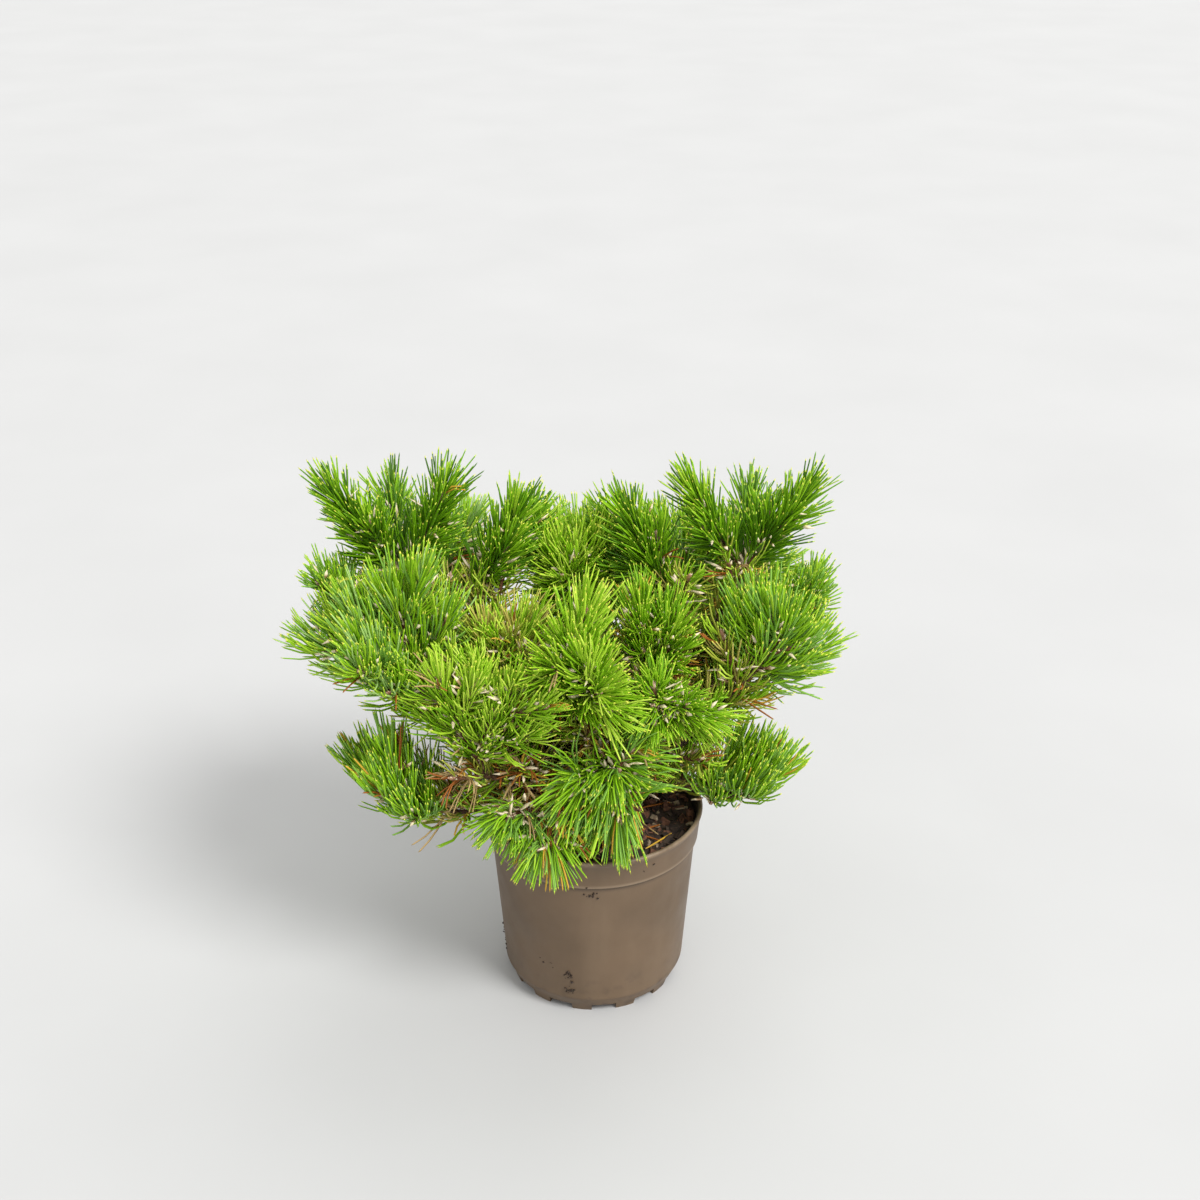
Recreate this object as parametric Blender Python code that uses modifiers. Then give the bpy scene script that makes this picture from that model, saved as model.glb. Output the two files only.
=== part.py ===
"""A dwarf Austrian pine in a plastic nursery pot.

Metres, +Z up, +X to the right and -Y to the front. The origin is on the floor, under the middle of the pot.
The plant is a short trunk, boughs that leave it at every side, and at each bough's tip one mass of foliage:
a stem that forks into shoots, each a slim core with stiff needles standing out of it.
"""

import math
import random
from collections import namedtuple

import bmesh
import bpy
from mathutils import Matrix, Vector
from mathutils.kdtree import KDTree

# Clearance between pieces that touch
GAP = 0.0003

# Points nearer than this are one
WELD = 1e-6

# The pot, a turned shell with a rolled lip, a collar and low feet
POT_HEIGHT = 0.180
LIP_RADIUS = 0.0022
LIP_MIDDLE = 0.0990
LIP_ARC = (180, -40, 6)
LIP_DROP = 2.4 * LIP_RADIUS
COLLAR_TOP = 0.0997
COLLAR_FOOT = 0.0974
COLLAR_DEPTH = 0.0285
COLLAR_STEP = 0.0026
BODY_FOOT = 0.0850
BODY_FOOT_HEIGHT = 0.019
BASE_RADIUS = 0.0780
BASE_ROUND = 0.0025
FOOT_HEIGHT = 0.008
WALL = 0.0016
POT_STEPS = 32
FEET = 12
FOOT_WIDTH = 0.018
FOOT_INNER = 0.0680
FOOT_DRAFT = 0.001
NOTCH_HEIGHT = 0.0072
NOTCH_DEPTH = 0.030
FIRST_FOOT = math.radians(-98)
HUB_RADIUS = 0.012
DRAINS = 6
DRAIN_RADIUS = 0.004
DRAIN_CIRCLE = 0.045
DRAIN_SIDES = 10
DRAIN_TURN = 0.25

# The potting soil, up to a finger's width under the lip
SOIL_TOP = 0.1660
SOIL_FALL = 0.0035
SOIL_FLAT = 0.030

# The plant, a little to the right of the pot's middle
PLANT_PLACE = Vector((0.005, 0.0, 0.0))

# The trunk, from its cut at the soil to its last whorl
TRUNK_TOP = 0.268
TRUNK_FLARE = 0.0165
TRUNK_FOOT = 0.0120
TRUNK_TIP = 0.0070
TRUNK_LEAN = Vector((-0.014, 0.006, 0.0))
TRUNK_POINTS = 9
TRUNK_SIDES = 10
FLARE_FADE = 9

# The boughs, each one tapering limb, bare up to where its foliage begins
BOUGH_POINTS = 8
BARE_POINTS = 5
BOUGH_SIDES = 6
BOUGH_BASE = 0.0036
BOUGH_BASE_BY_LENGTH = 0.008
BOUGH_TAPER = 0.8
BOUGH_BEND_OUT = 0.62
BOUGH_BEND_UP = 0.30
TWIG_RADIUS = 0.0026

# The shoots and their needles
TURN_LENGTH = 0.022
TURN_POINTS = 5
SHOOT_POINTS = 5
SHOOT_CURL = 0.16
SHOOT_DROOP = -0.10
SHOOT_JITTER = 0.06
CORE_PROFILE = ((0.0, 0.0026), (0.25, 0.0060), (0.80, 0.0056), (1.0, 0.0032))
CORE_SIDES = 4
NEEDLE_LENGTH = 0.066
NEEDLE_RADIUS = 0.0019
NEEDLES_A_METRE = 122
NEEDLE_FIRST = 0.10
NEEDLE_CHECKS = 8
NEEDLE_SIZES = (0.93, 1.05)
SHOOT_LEANS = (math.radians(52), math.radians(23))
SHOOT_SIZES = (1.0, 0.90)
STEM_LEANS = (math.radians(66), math.radians(52))
STEM_SIZES = (0.75, 0.90)
NEEDLE_LIFT = 0.7
GOLDEN_TURN = math.radians(137.5)
LONGS = (1.0, 0.78, 0.58)
SEED = 41

# A bough ends at azimuth, reach and height, seen from the trunk, and leaves the trunk at the height whorl.
# Its foliage heads along heading and rise and forks into arms shoots, spread degrees off that and turned
# by roll. Needles bend up where lift is above 0, and needles is how long they are beside the longest.
Branch = namedtuple(
    "Branch", "name azimuth reach height whorl heading rise arms spread roll length lift needles"
)
BRANCHES = (
    Branch("lower_front", 286, 0.037, 0.229, 0.186, 262, 12, 3, 35, 303, 0.044, -0.60, 1.00),
    Branch("lower_front_left", 228, 0.064, 0.211, 0.193, 242, -28, 3, 54, 244, 0.037, -0.70, 0.80),
    Branch("centre_front", 225, 0.033, 0.301, 0.256, 284, 40, 2, 24, 109, 0.063, 0.10, 0.92),
    Branch("front_left", 209, 0.110, 0.240, 0.210, 297, 87, 3, 24, 59, 0.092, 0.30, 0.75),
    Branch("left_middle", 186, 0.135, 0.283, 0.219, 194, 50, 3, 22, 222, 0.096, 0.60, 0.95),
    Branch("lower_left", 192, 0.126, 0.186, 0.186, 193, 21, 2, 33, 199, 0.072, 1.00, 1.00),
    Branch("far_left", 175, 0.189, 0.330, 0.196, 142, 17, 2, 38, 61, 0.058, 0.35, 0.65),
    Branch("upper_left", 160, 0.183, 0.360, 0.234, 111, 67, 3, 42, 257, 0.080, 0.05, 0.80),
    Branch("upper_middle_left", 155, 0.124, 0.351, 0.262, 29, 45, 2, 19, 123, 0.072, 0.05, 0.80),
    Branch("back_centre", 106, 0.085, 0.321, 0.244, 92, 89, 3, 27, 335, 0.052, 0.05, 0.85),
    Branch("upper_middle_right", 38, 0.084, 0.351, 0.258, 152, 44, 2, 19, 58, 0.070, 0.05, 0.80),
    Branch("upper_right", 27, 0.140, 0.366, 0.234, 74, 67, 3, 45, 40, 0.072, 0.05, 0.80),
    Branch("right_middle", 356, 0.124, 0.304, 0.197, 20, 41, 3, 32, 264, 0.048, 0.60, 0.95),
    Branch("far_right", 18, 0.154, 0.319, 0.223, 323, 49, 2, 19, 18, 0.051, 0.15, 0.65),
    Branch("lower_right", 7, 0.081, 0.191, 0.187, 337, 4, 2, 32, 349, 0.062, 1.00, 1.00),
    Branch("right_front", 333, 0.054, 0.281, 0.211, 293, 33, 2, 30, 157, 0.043, -0.25, 0.70),
    Branch("back_left", 139, 0.177, 0.270, 0.214, 130, 52, 3, 28, 90, 0.084, 0.10, 0.90),
    Branch("back", 94, 0.162, 0.250, 0.196, 95, 52, 3, 28, 90, 0.074, 0.10, 0.90),
    Branch("back_right", 62, 0.146, 0.276, 0.208, 52, 52, 3, 28, 90, 0.084, 0.10, 0.90),
    Branch("lower_back_left", 134, 0.135, 0.205, 0.187, 135, 14, 2, 30, 0, 0.078, 1.00, 1.00),
    Branch("lower_back_right", 58, 0.130, 0.205, 0.186, 62, 14, 2, 30, 0, 0.078, 1.00, 1.00),
    Branch("inner_left", 190, 0.070, 0.292, 0.248, 150, 76, 2, 22, 90, 0.045, 0.30, 0.75),
    Branch("inner_right", 4, 0.034, 0.300, 0.247, 330, 74, 2, 22, 90, 0.045, 0.30, 0.75),
)

TAUPE = (0.206, 0.165, 0.131)
SOIL_BROWN = (0.030, 0.018, 0.012)
BARK_BROWN = (0.062, 0.040, 0.028)
NEEDLE_GREEN = (0.130, 0.300, 0.030)

UP = Vector((0.0, 0.0, 1.0))


def clear_scene():
    """Remove every object of the scene that the script starts in."""
    for found in list(bpy.data.objects):
        bpy.data.objects.remove(found, do_unlink=True)


def new_collection(name, hidden=False):
    """A collection of the scene, left out of renders where hidden."""
    made = bpy.data.collections.new(name)
    made.hide_render = hidden
    bpy.context.scene.collection.children.link(made)
    return made


def material(name, colour, roughness):
    """A Principled BSDF of one colour."""
    made = bpy.data.materials.new(name)
    made.use_nodes = True
    shader = made.node_tree.nodes["Principled BSDF"]
    shader.inputs["Base Color"].default_value = (*colour, 1.0)
    shader.inputs["Roughness"].default_value = roughness
    shader.inputs["Metallic"].default_value = 0.0
    return made


def add_object(name, mesh, collection, finish=None):
    """Link a new object to a collection, with its material."""
    made = bpy.data.objects.new(name, mesh)
    collection.objects.link(made)
    if finish is not None:
        mesh.materials.clear()
        mesh.materials.append(finish)
    return made


def as_cutter(cutter):
    """Show a helper as a wire and leave it out of renders."""
    cutter.hide_render = True
    cutter.display_type = "WIRE"
    return cutter


def evaluated_mesh(source):
    """The object's mesh with its modifiers applied, its caps welded and its faces pointing out."""
    graph = bpy.context.evaluated_depsgraph_get()
    mesh = bpy.data.meshes.new_from_object(source.evaluated_get(graph))
    shape = bmesh.new()
    shape.from_mesh(mesh)
    bmesh.ops.remove_doubles(shape, verts=shape.verts, dist=WELD)
    bmesh.ops.recalc_face_normals(shape, faces=shape.faces)
    shape.to_mesh(mesh)
    shape.free()
    return mesh


def turned(name, profile, collection, finish):
    """A solid of revolution. The profile is (radius, height) points that run down the outer side."""
    mesh = bpy.data.meshes.new(name)
    shape = bmesh.new()
    points = [shape.verts.new((radius, 0.0, height)) for radius, height in profile]
    for first, second in zip(points, points[1:]):
        shape.edges.new((first, second))
    shape.to_mesh(mesh)
    shape.free()
    made = add_object(name, mesh, collection, finish)
    screw = made.modifiers.new("Turn", "SCREW")
    screw.steps = POT_STEPS
    screw.render_steps = POT_STEPS
    screw.use_merge_vertices = True
    screw.merge_threshold = WELD
    screw.use_smooth_shade = True
    return made


def arc(centre, radius, start, end, count):
    """Points on a circle in the profile's plane, from one angle in degrees to another."""
    points = []
    for step in range(count):
        angle = math.radians(start + (end - start) * step / (count - 1))
        points.append((centre[0] + radius * math.cos(angle), centre[1] + radius * math.sin(angle)))
    return points


def inner_wall():
    """The pot's inner side as (radius, height), from the floor up to the lip."""
    collar_foot = POT_HEIGHT - COLLAR_DEPTH
    return [
        (BASE_RADIUS - 2 * WALL, FOOT_HEIGHT + WALL),
        (BASE_RADIUS, FOOT_HEIGHT + 2 * WALL),
        (BODY_FOOT - WALL, BODY_FOOT_HEIGHT),
        (COLLAR_FOOT - COLLAR_STEP - WALL, collar_foot - WALL),
        (COLLAR_FOOT - WALL, collar_foot + WALL),
        (COLLAR_TOP - WALL - LIP_RADIUS / 2, POT_HEIGHT - LIP_DROP),
    ]


def outer_wall():
    """The pot's outer side as (radius, height), from the lip down to the foot ring."""
    collar_foot = POT_HEIGHT - COLLAR_DEPTH
    lip = (LIP_MIDDLE, POT_HEIGHT - LIP_RADIUS)
    return [
        *arc(lip, LIP_RADIUS, *LIP_ARC),
        (COLLAR_TOP, POT_HEIGHT - LIP_DROP),
        (COLLAR_FOOT, collar_foot),
        (COLLAR_FOOT - COLLAR_STEP, collar_foot - COLLAR_STEP / 2),
        (BODY_FOOT, BODY_FOOT_HEIGHT),
        (BODY_FOOT - WALL, (BODY_FOOT_HEIGHT + FOOT_HEIGHT) / 2),
        (BASE_RADIUS + BASE_ROUND, FOOT_HEIGHT),
    ]


def make_pot(parts, cutters, finish):
    """The nursery pot: a turned shell, with notches between its feet and drains through its floor."""
    underside = [
        (BASE_RADIUS, 0.0),
        (FOOT_INNER, 0.0),
        (FOOT_INNER - FOOT_DRAFT, FOOT_HEIGHT),
        (HUB_RADIUS + FOOT_DRAFT, FOOT_HEIGHT),
        (HUB_RADIUS, 0.0),
        (0.0, 0.0),
    ]
    profile = [(0.0, FOOT_HEIGHT + WALL), *inner_wall(), *outer_wall(), *underside]
    pot = turned("pot", profile, parts, finish)
    pitch = 2 * math.pi / FEET
    notch_width = BASE_RADIUS * pitch - FOOT_WIDTH
    for index in range(FEET):
        turn = FIRST_FOOT + (index + 0.5) * pitch
        mesh = bpy.data.meshes.new(f"foot_notch_{index}")
        shape = bmesh.new()
        bmesh.ops.create_cube(shape, size=1.0)
        bmesh.ops.scale(shape, vec=(NOTCH_DEPTH, notch_width, 2 * NOTCH_HEIGHT), verts=shape.verts)
        shape.to_mesh(mesh)
        shape.free()
        notch = as_cutter(add_object(mesh.name, mesh, cutters))
        notch.location = (BASE_RADIUS * math.cos(turn), BASE_RADIUS * math.sin(turn), 0.0)
        notch.rotation_euler.z = turn
    for index in range(DRAINS):
        turn = FIRST_FOOT + (index + DRAIN_TURN) * 2 * math.pi / DRAINS
        mesh = bpy.data.meshes.new(f"drain_{index}")
        shape = bmesh.new()
        sizes = {"radius1": DRAIN_RADIUS, "radius2": DRAIN_RADIUS, "depth": 4 * FOOT_HEIGHT}
        bmesh.ops.create_cone(shape, cap_ends=True, segments=DRAIN_SIDES, **sizes)
        shape.to_mesh(mesh)
        shape.free()
        drain = as_cutter(add_object(mesh.name, mesh, cutters))
        drain.location = (DRAIN_CIRCLE * math.cos(turn), DRAIN_CIRCLE * math.sin(turn), 0.0)
    cut = pot.modifiers.new("Notches", "BOOLEAN")
    cut.operation = "DIFFERENCE"
    cut.operand_type = "COLLECTION"
    cut.collection = cutters
    cut.solver = "EXACT"


def make_soil(parts, finish):
    """The filled inside of the pot, clear of its wall and flat under the trunk."""
    side = [(radius - GAP, height) for radius, height in inner_wall() if height < SOIL_TOP]
    top_radius = side[-1][0]
    rim = (top_radius, SOIL_TOP - SOIL_FALL)
    floor = FOOT_HEIGHT + WALL + GAP
    side[0] = (side[0][0], floor)
    profile = [(0.0, SOIL_TOP), (SOIL_FLAT, SOIL_TOP), rim, *reversed(side), (0.0, floor)]
    turned("potting_soil", profile, parts, finish)


def trunk_line():
    """Points and radii up the trunk, with its lean and root flare."""
    points, radii = [], []
    foot = SOIL_TOP + GAP
    for step in range(TRUNK_POINTS):
        share = step / (TRUNK_POINTS - 1)
        points.append(trunk_axis(foot + (TRUNK_TOP - foot) * share))
        flare = (TRUNK_FLARE - TRUNK_FOOT) * math.exp(-share * FLARE_FADE)
        radii.append(TRUNK_FOOT + (TRUNK_TIP - TRUNK_FOOT) * share + flare)
    return points, radii


def trunk_axis(height):
    """The trunk's middle at a height."""
    foot = SOIL_TOP + GAP
    share = (height - foot) / (TRUNK_TOP - foot)
    return PLANT_PLACE + UP * height + TRUNK_LEAN * share**2


def polar(azimuth, rise):
    """The direction with an azimuth, from +X towards the back, and a rise above the horizon, in degrees."""
    turn, tilt = math.radians(azimuth), math.radians(rise)
    return Vector((math.cos(turn) * math.cos(tilt), math.sin(turn) * math.cos(tilt), math.sin(tilt)))


def bough_line(branch):
    """Points and radii of the limb under a mass, which leaves the trunk outwards and then curves up."""
    start = trunk_axis(branch.whorl)
    tip = PLANT_PLACE + polar(branch.azimuth, 0.0) * branch.reach
    tip.z = branch.height
    across = tip - start
    bend = start + across * BOUGH_BEND_OUT
    bend.z = start.z + across.z * BOUGH_BEND_UP
    base = BOUGH_BASE + BOUGH_BASE_BY_LENGTH * across.length
    points, radii = [], []
    for step in range(BOUGH_POINTS):
        share = step / (BOUGH_POINTS - 1)
        points.append(start.lerp(bend, share).lerp(bend.lerp(tip, share), share))
        radii.append(base + (TWIG_RADIUS - base) * share**BOUGH_TAPER)
    return points, radii


def stem_line(branch, points, radii):
    """The foliage's stem: the limb's leafy end, clear of the bare bough, and its turn to the fork."""
    heading = polar(branch.heading, branch.rise)
    tip = points[-1]
    along = (tip - points[-2]).normalized()
    bend = tip + along * (TURN_LENGTH / 2)
    fork = bend + heading * (TURN_LENGTH / 2)
    bare = BARE_POINTS - 1
    step_out = (points[bare + 1] - points[bare]).normalized() * GAP
    line, widths = [points[bare] + step_out, *points[bare + 1 :]], list(radii[bare:])
    for step in range(1, TURN_POINTS):
        share = step / (TURN_POINTS - 1)
        line.append(tip.lerp(bend, share).lerp(bend.lerp(fork, share), share))
        widths.append(TWIG_RADIUS)
    return line, widths


def shoot_lines(branch, fork, rng):
    """The shoots' middle lines: a whorl of arms round the heading."""
    heading = polar(branch.heading, branch.rise)
    side = UP.cross(heading).normalized()
    over = heading.cross(side)
    ways = []
    for arm in range(branch.arms):
        turn = math.radians(branch.roll + 360.0 * arm / branch.arms)
        lean = math.radians(branch.spread * rng.uniform(1 - SHOOT_JITTER, 1 + SHOOT_JITTER))
        outward = side * math.cos(turn) + over * math.sin(turn)
        ways.append(heading * math.cos(lean) + outward * math.sin(lean))
    lines = []
    for way in ways:
        length = branch.length * rng.uniform(1 - SHOOT_JITTER, 1 + SHOOT_JITTER)
        curl = UP * (length * (SHOOT_DROOP if branch.lift < SHOOT_DROOP else SHOOT_CURL))
        shares = [step / (SHOOT_POINTS - 1) for step in range(SHOOT_POINTS)]
        lines.append([fork + way * (length * share) + curl * share**2 for share in shares])
    return lines


def profile_at(profile, share):
    """A value read between the points of a profile of (share, value)."""
    for (low, first), (high, second) in zip(profile, profile[1:]):
        if share <= high:
            return first + (second - first) * (share - low) / (high - low)
    return profile[-1][1]


def tube(name, points, radii, sides, collection, finish=None):
    """A closed tapering tube along the points, made as a bevelled curve and then a mesh."""
    curve = bpy.data.curves.new(name, "CURVE")
    curve.dimensions = "3D"
    curve.bevel_depth = 1.0
    curve.bevel_resolution = sides // 2 - 2
    curve.use_fill_caps = True
    curve.twist_mode = "MINIMUM"
    spline = curve.splines.new("POLY")
    spline.points.add(len(points) - 1)
    for point, place, radius in zip(spline.points, points, radii):
        point.co = (*place, 1.0)
        point.radius = radius
    guide = bpy.data.objects.new(name + "_guide", curve)
    collection.objects.link(guide)
    bpy.context.view_layer.update()
    mesh = evaluated_mesh(guide)
    mesh.name = name
    bpy.data.objects.remove(guide, do_unlink=True)
    mesh.shade_smooth()
    return add_object(name, mesh, collection, finish)


class Room:
    """How much free space a point has beside the limbs, the pot and the other masses' shoots."""

    SPACING = 0.003
    NEAREST = 12

    def __init__(self):
        self.limbs = []
        self.shoots = {}
        self.limb_tree = None
        self.shoot_trees = {}

    def samples(self, points, values):
        """Points and values laid closely along a line."""
        found = []
        for first, second, low, high in zip(points, points[1:], values, values[1:]):
            count = max(1, math.ceil((second - first).length / self.SPACING))
            for step in range(count + 1):
                share = step / count
                found.append((first.lerp(second, share), low + (high - low) * share))
        return found

    def add_limb(self, points, radii):
        self.limbs += self.samples(points, radii)

    def add_shoot(self, owner, points):
        self.shoots.setdefault(owner, []).extend(p for p, _ in self.samples(points, [0.0] * len(points)))

    def tree(self, points):
        made = KDTree(len(points))
        for index, point in enumerate(points):
            made.insert(point, index)
        made.balance()
        return made

    def close(self):
        """Call once every limb and shoot is in."""
        self.limb_tree = self.tree([point for point, _ in self.limbs])
        self.shoot_trees = {owner: self.tree(points) for owner, points in self.shoots.items()}

    def beside_limbs(self, point):
        near = self.limb_tree.find_n(point, self.NEAREST)
        return min(distance - self.limbs[index][1] for _, index, distance in near)

    def beside_masses(self, point, owner):
        """Half of how much nearer the point is to its own mass's shoots than to any other's."""
        own = self.shoot_trees[owner].find(point)[2]
        others = (tree.find(point)[2] for name, tree in self.shoot_trees.items() if name != owner)
        return (min(others) - own) / 2

    def beside_pot(self, point):
        """Above the lip and the soil, or outside the wall."""
        radius = math.hypot(point.x, point.y)
        over_lip = point.z - POT_HEIGHT
        over_soil = point.z - SOIL_TOP
        inside = min(over_soil, COLLAR_FOOT - 2 * LIP_RADIUS - radius)
        outside = radius - COLLAR_TOP - LIP_RADIUS
        return max(over_lip, inside, outside)

    def at(self, point, owner):
        return min(self.beside_limbs(point), self.beside_masses(point, owner), self.beside_pot(point))


def needle_mesh(length):
    """A three-sided tapering needle that stands on the origin along +Z."""
    mesh = bpy.data.meshes.new("needle")
    shape = bmesh.new()
    bmesh.ops.create_cone(
        shape, cap_ends=True, segments=3, radius1=NEEDLE_RADIUS, radius2=0.0, depth=length
    )
    bmesh.ops.translate(shape, vec=(0.0, 0.0, length / 2), verts=shape.verts)
    shape.to_mesh(mesh)
    shape.free()
    return mesh


def needle_fits(root, way, length, room, owner):
    """Whether a needle keeps to its mass's space and touches no limb."""
    margin = NEEDLE_RADIUS + GAP
    for step in range(2, NEEDLE_CHECKS + 1):
        if room.at(root + way * (length * step / NEEDLE_CHECKS), owner) <= margin:
            return False
    return True


def along_line(line, share):
    """The point and the direction at a share of a line's length."""
    lengths = [(second - first).length for first, second in zip(line, line[1:])]
    left = share * sum(lengths)
    for first, second, length in zip(line, line[1:], lengths):
        if left <= length or second is line[-1]:
            return first.lerp(second, left / length), (second - first).normalized()
        left -= length


def needle_ways(branch, line, leans, sizes, rng):
    """(root, direction, length) of each needle on a line, in a golden spiral that closes to its tip."""
    total = sum((second - first).length for first, second in zip(line, line[1:]))
    count = round(NEEDLES_A_METRE * total)
    phase = rng.uniform(0, 2 * math.pi)
    found = []
    for index in range(count):
        share = NEEDLE_FIRST + (1 - NEEDLE_FIRST) * (index + 0.5) / count
        root, axis = along_line(line, share)
        side = axis.orthogonal().normalized()
        over = axis.cross(side)
        turn = phase + index * GOLDEN_TURN
        lean = leans[0] + (leans[1] - leans[0]) * share
        way = axis * math.cos(lean) + (side * math.cos(turn) + over * math.sin(turn)) * math.sin(lean)
        way = (way + UP * (branch.lift * NEEDLE_LIFT)).normalized()
        size = branch.needles * (sizes[0] + (sizes[1] - sizes[0]) * share**2)
        found.append((root, way, NEEDLE_LENGTH * size * rng.uniform(*NEEDLE_SIZES)))
    return found


def largest_body(mesh):
    """Keep only the mesh's largest shell, which fills sealed hollows and drops loose scraps."""
    shape = bmesh.new()
    shape.from_mesh(mesh)
    shape.verts.ensure_lookup_table()
    left, shells = set(shape.verts), []
    while left:
        found, edge = set(), [left.pop()]
        while edge:
            vertex = edge.pop()
            found.add(vertex)
            for link in vertex.link_edges:
                other = link.other_vert(vertex)
                if other in left:
                    left.discard(other)
                    edge.append(other)
        shells.append(found)
    shells.sort(key=len)
    for shell in shells[:-1]:
        bmesh.ops.delete(shape, geom=list(shell), context="VERTS")
    shape.to_mesh(mesh)
    shape.free()


def add_needles(branch, line, leans, sizes, room, rng, pieces):
    """Stand needles on a line, each as long as its space lets it be, or left out."""
    for root, way, length in needle_ways(branch, line, leans, sizes, rng):
        for share in LONGS:
            if needle_fits(root, way, length * share, room, branch.name):
                needle = add_object(f"needle_{branch.name}", needle_mesh(length * share), pieces)
                turn = way.to_track_quat("Z", "Y").to_matrix().to_4x4()
                needle.matrix_world = Matrix.Translation(root) @ turn
                break


def make_foliage(branch, stem, widths, lines, room, rng, parts, finish):
    """One mass: its stem and shoots with their needles, fused into one solid."""
    pieces = new_collection(f"{branch.name}_pieces")
    whole = tube(f"foliage_{branch.name}", stem, widths, BOUGH_SIDES, parts, finish)
    add_needles(branch, stem, STEM_LEANS, STEM_SIZES, room, rng, pieces)
    for line in lines:
        radii = []
        for step, point in enumerate(line):
            wanted = profile_at(CORE_PROFILE, step / (len(line) - 1))
            free = room.at(point, branch.name) - GAP
            radii.append(wanted if step == 0 else max(min(wanted, free), CORE_PROFILE[-1][1]))
        tube(f"core_{branch.name}", line, radii, CORE_SIDES, pieces)
        add_needles(branch, line, SHOOT_LEANS, SHOOT_SIZES, room, rng, pieces)
    union = whole.modifiers.new("Fuse", "BOOLEAN")
    union.operation = "UNION"
    union.operand_type = "COLLECTION"
    union.collection = pieces
    union.solver = "MANIFOLD"
    bpy.context.view_layer.update()
    fused = evaluated_mesh(whole)
    largest_body(fused)
    fused.name = whole.name
    whole.modifiers.clear()
    whole.data = fused
    fused.materials.clear()
    fused.materials.append(finish)
    for piece in list(pieces.objects):
        bpy.data.objects.remove(piece, do_unlink=True)
    bpy.data.collections.remove(pieces)


def make_bough(branch, points, radii, parts, trunk_cutter, finish):
    """A bough, cut clear of the trunk that it leaves."""
    bough = tube(f"bough_{branch.name}", points, radii, BOUGH_SIDES, parts, finish)
    cut = bough.modifiers.new("Seat", "BOOLEAN")
    cut.operation = "DIFFERENCE"
    cut.object = trunk_cutter
    cut.solver = "EXACT"


def main():
    clear_scene()
    parts = new_collection("potted_dwarf_pine")
    pot_cutters = new_collection("pot_cutters", hidden=True)
    seat_cutters = new_collection("seat_cutters", hidden=True)
    plastic = material("taupe_plastic", TAUPE, 0.55)
    soil = material("potting_soil", SOIL_BROWN, 0.95)
    bark = material("bark", BARK_BROWN, 0.85)
    green = material("needles", NEEDLE_GREEN, 0.45)
    make_pot(parts, pot_cutters, plastic)
    make_soil(parts, soil)

    points, radii = trunk_line()
    tube("trunk", points, radii, TRUNK_SIDES, parts, bark)
    wide = [radius + GAP for radius in radii]
    trunk_cutter = as_cutter(tube("trunk_cutter", points, wide, TRUNK_SIDES, seat_cutters))

    room = Room()
    room.add_limb(points, radii)
    grown = []
    for index, branch in enumerate(BRANCHES):
        rng = random.Random(SEED + index)
        points, radii = bough_line(branch)
        bare = points[:BARE_POINTS], radii[:BARE_POINTS]
        make_bough(branch, *bare, parts, trunk_cutter, bark)
        room.add_limb(*bare)
        stem, widths = stem_line(branch, points, radii)
        lines = shoot_lines(branch, stem[-1], rng)
        for line in [stem, *lines]:
            room.add_shoot(branch.name, line)
        grown.append((branch, stem, widths, lines, rng))
    room.close()
    for branch, stem, widths, lines, rng in grown:
        make_foliage(branch, stem, widths, lines, room, rng, parts, green)


if __name__ == "__main__":
    main()
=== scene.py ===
"""The looks of a dwarf Austrian pine in a plastic nursery pot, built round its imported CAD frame.

Metres, +Z up, +X to the right and -Y to the front, as in the frame. Limbs and shoots follow the rule that
gives the CAD masses their shape. Here they carry bark, finer side shoots, buds and needles in pairs.
"""

import math
import random
from collections import namedtuple

import bmesh
import bpy
import numpy as np
from mathutils import Matrix, Vector, noise
from mathutils.kdtree import KDTree


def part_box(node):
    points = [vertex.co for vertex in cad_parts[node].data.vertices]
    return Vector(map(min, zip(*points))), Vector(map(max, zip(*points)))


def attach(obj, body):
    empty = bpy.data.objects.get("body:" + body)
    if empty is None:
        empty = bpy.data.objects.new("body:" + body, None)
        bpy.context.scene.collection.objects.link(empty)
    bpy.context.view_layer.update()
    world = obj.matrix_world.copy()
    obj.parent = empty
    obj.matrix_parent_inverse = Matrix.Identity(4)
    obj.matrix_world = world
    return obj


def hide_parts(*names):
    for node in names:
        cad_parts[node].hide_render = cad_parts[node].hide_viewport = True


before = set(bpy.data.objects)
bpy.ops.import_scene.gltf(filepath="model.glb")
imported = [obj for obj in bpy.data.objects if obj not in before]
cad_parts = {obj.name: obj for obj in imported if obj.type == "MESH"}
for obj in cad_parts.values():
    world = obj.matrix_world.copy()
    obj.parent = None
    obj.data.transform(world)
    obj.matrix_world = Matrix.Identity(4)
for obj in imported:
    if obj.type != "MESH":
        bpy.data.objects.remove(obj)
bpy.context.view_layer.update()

# The pot, a turned shell with a rolled lip, a collar and low feet
POT_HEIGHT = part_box("pot")[1].z
LIP_RADIUS = 0.0022
LIP_MIDDLE = 0.0990
LIP_DROP = 2.4 * LIP_RADIUS
COLLAR_TOP = 0.0997
COLLAR_FOOT = 0.0974
COLLAR_STEP = 0.0026
LEDGE = POT_HEIGHT - 0.0285
BODY_FOOT = 0.0850
BODY_FOOT_HEIGHT = 0.019
BODY_ROUND = 0.008
BASE_RADIUS = 0.0780
BASE_ROUND = 0.0025
FOOT_HEIGHT = 0.008
WALL = 0.0016
INNER_RADIUS = COLLAR_TOP - WALL - LIP_RADIUS / 2
FEET = 12
FOOT_WIDTH = 0.018
FOOT_INNER = 0.0680
FOOT_DRAFT = 0.001
NOTCH_HEIGHT = 0.0072
NOTCH_DEPTH = 0.030
FIRST_FOOT = math.radians(-98)
HUB_RADIUS = 0.012
DRAINS = 6
DRAIN_RADIUS = 0.004
DRAIN_CIRCLE = 0.045
DRAIN_SIDES = 24
GAP = 0.0003
POT_STEPS = 168
RING_GAP = 0.006
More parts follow.
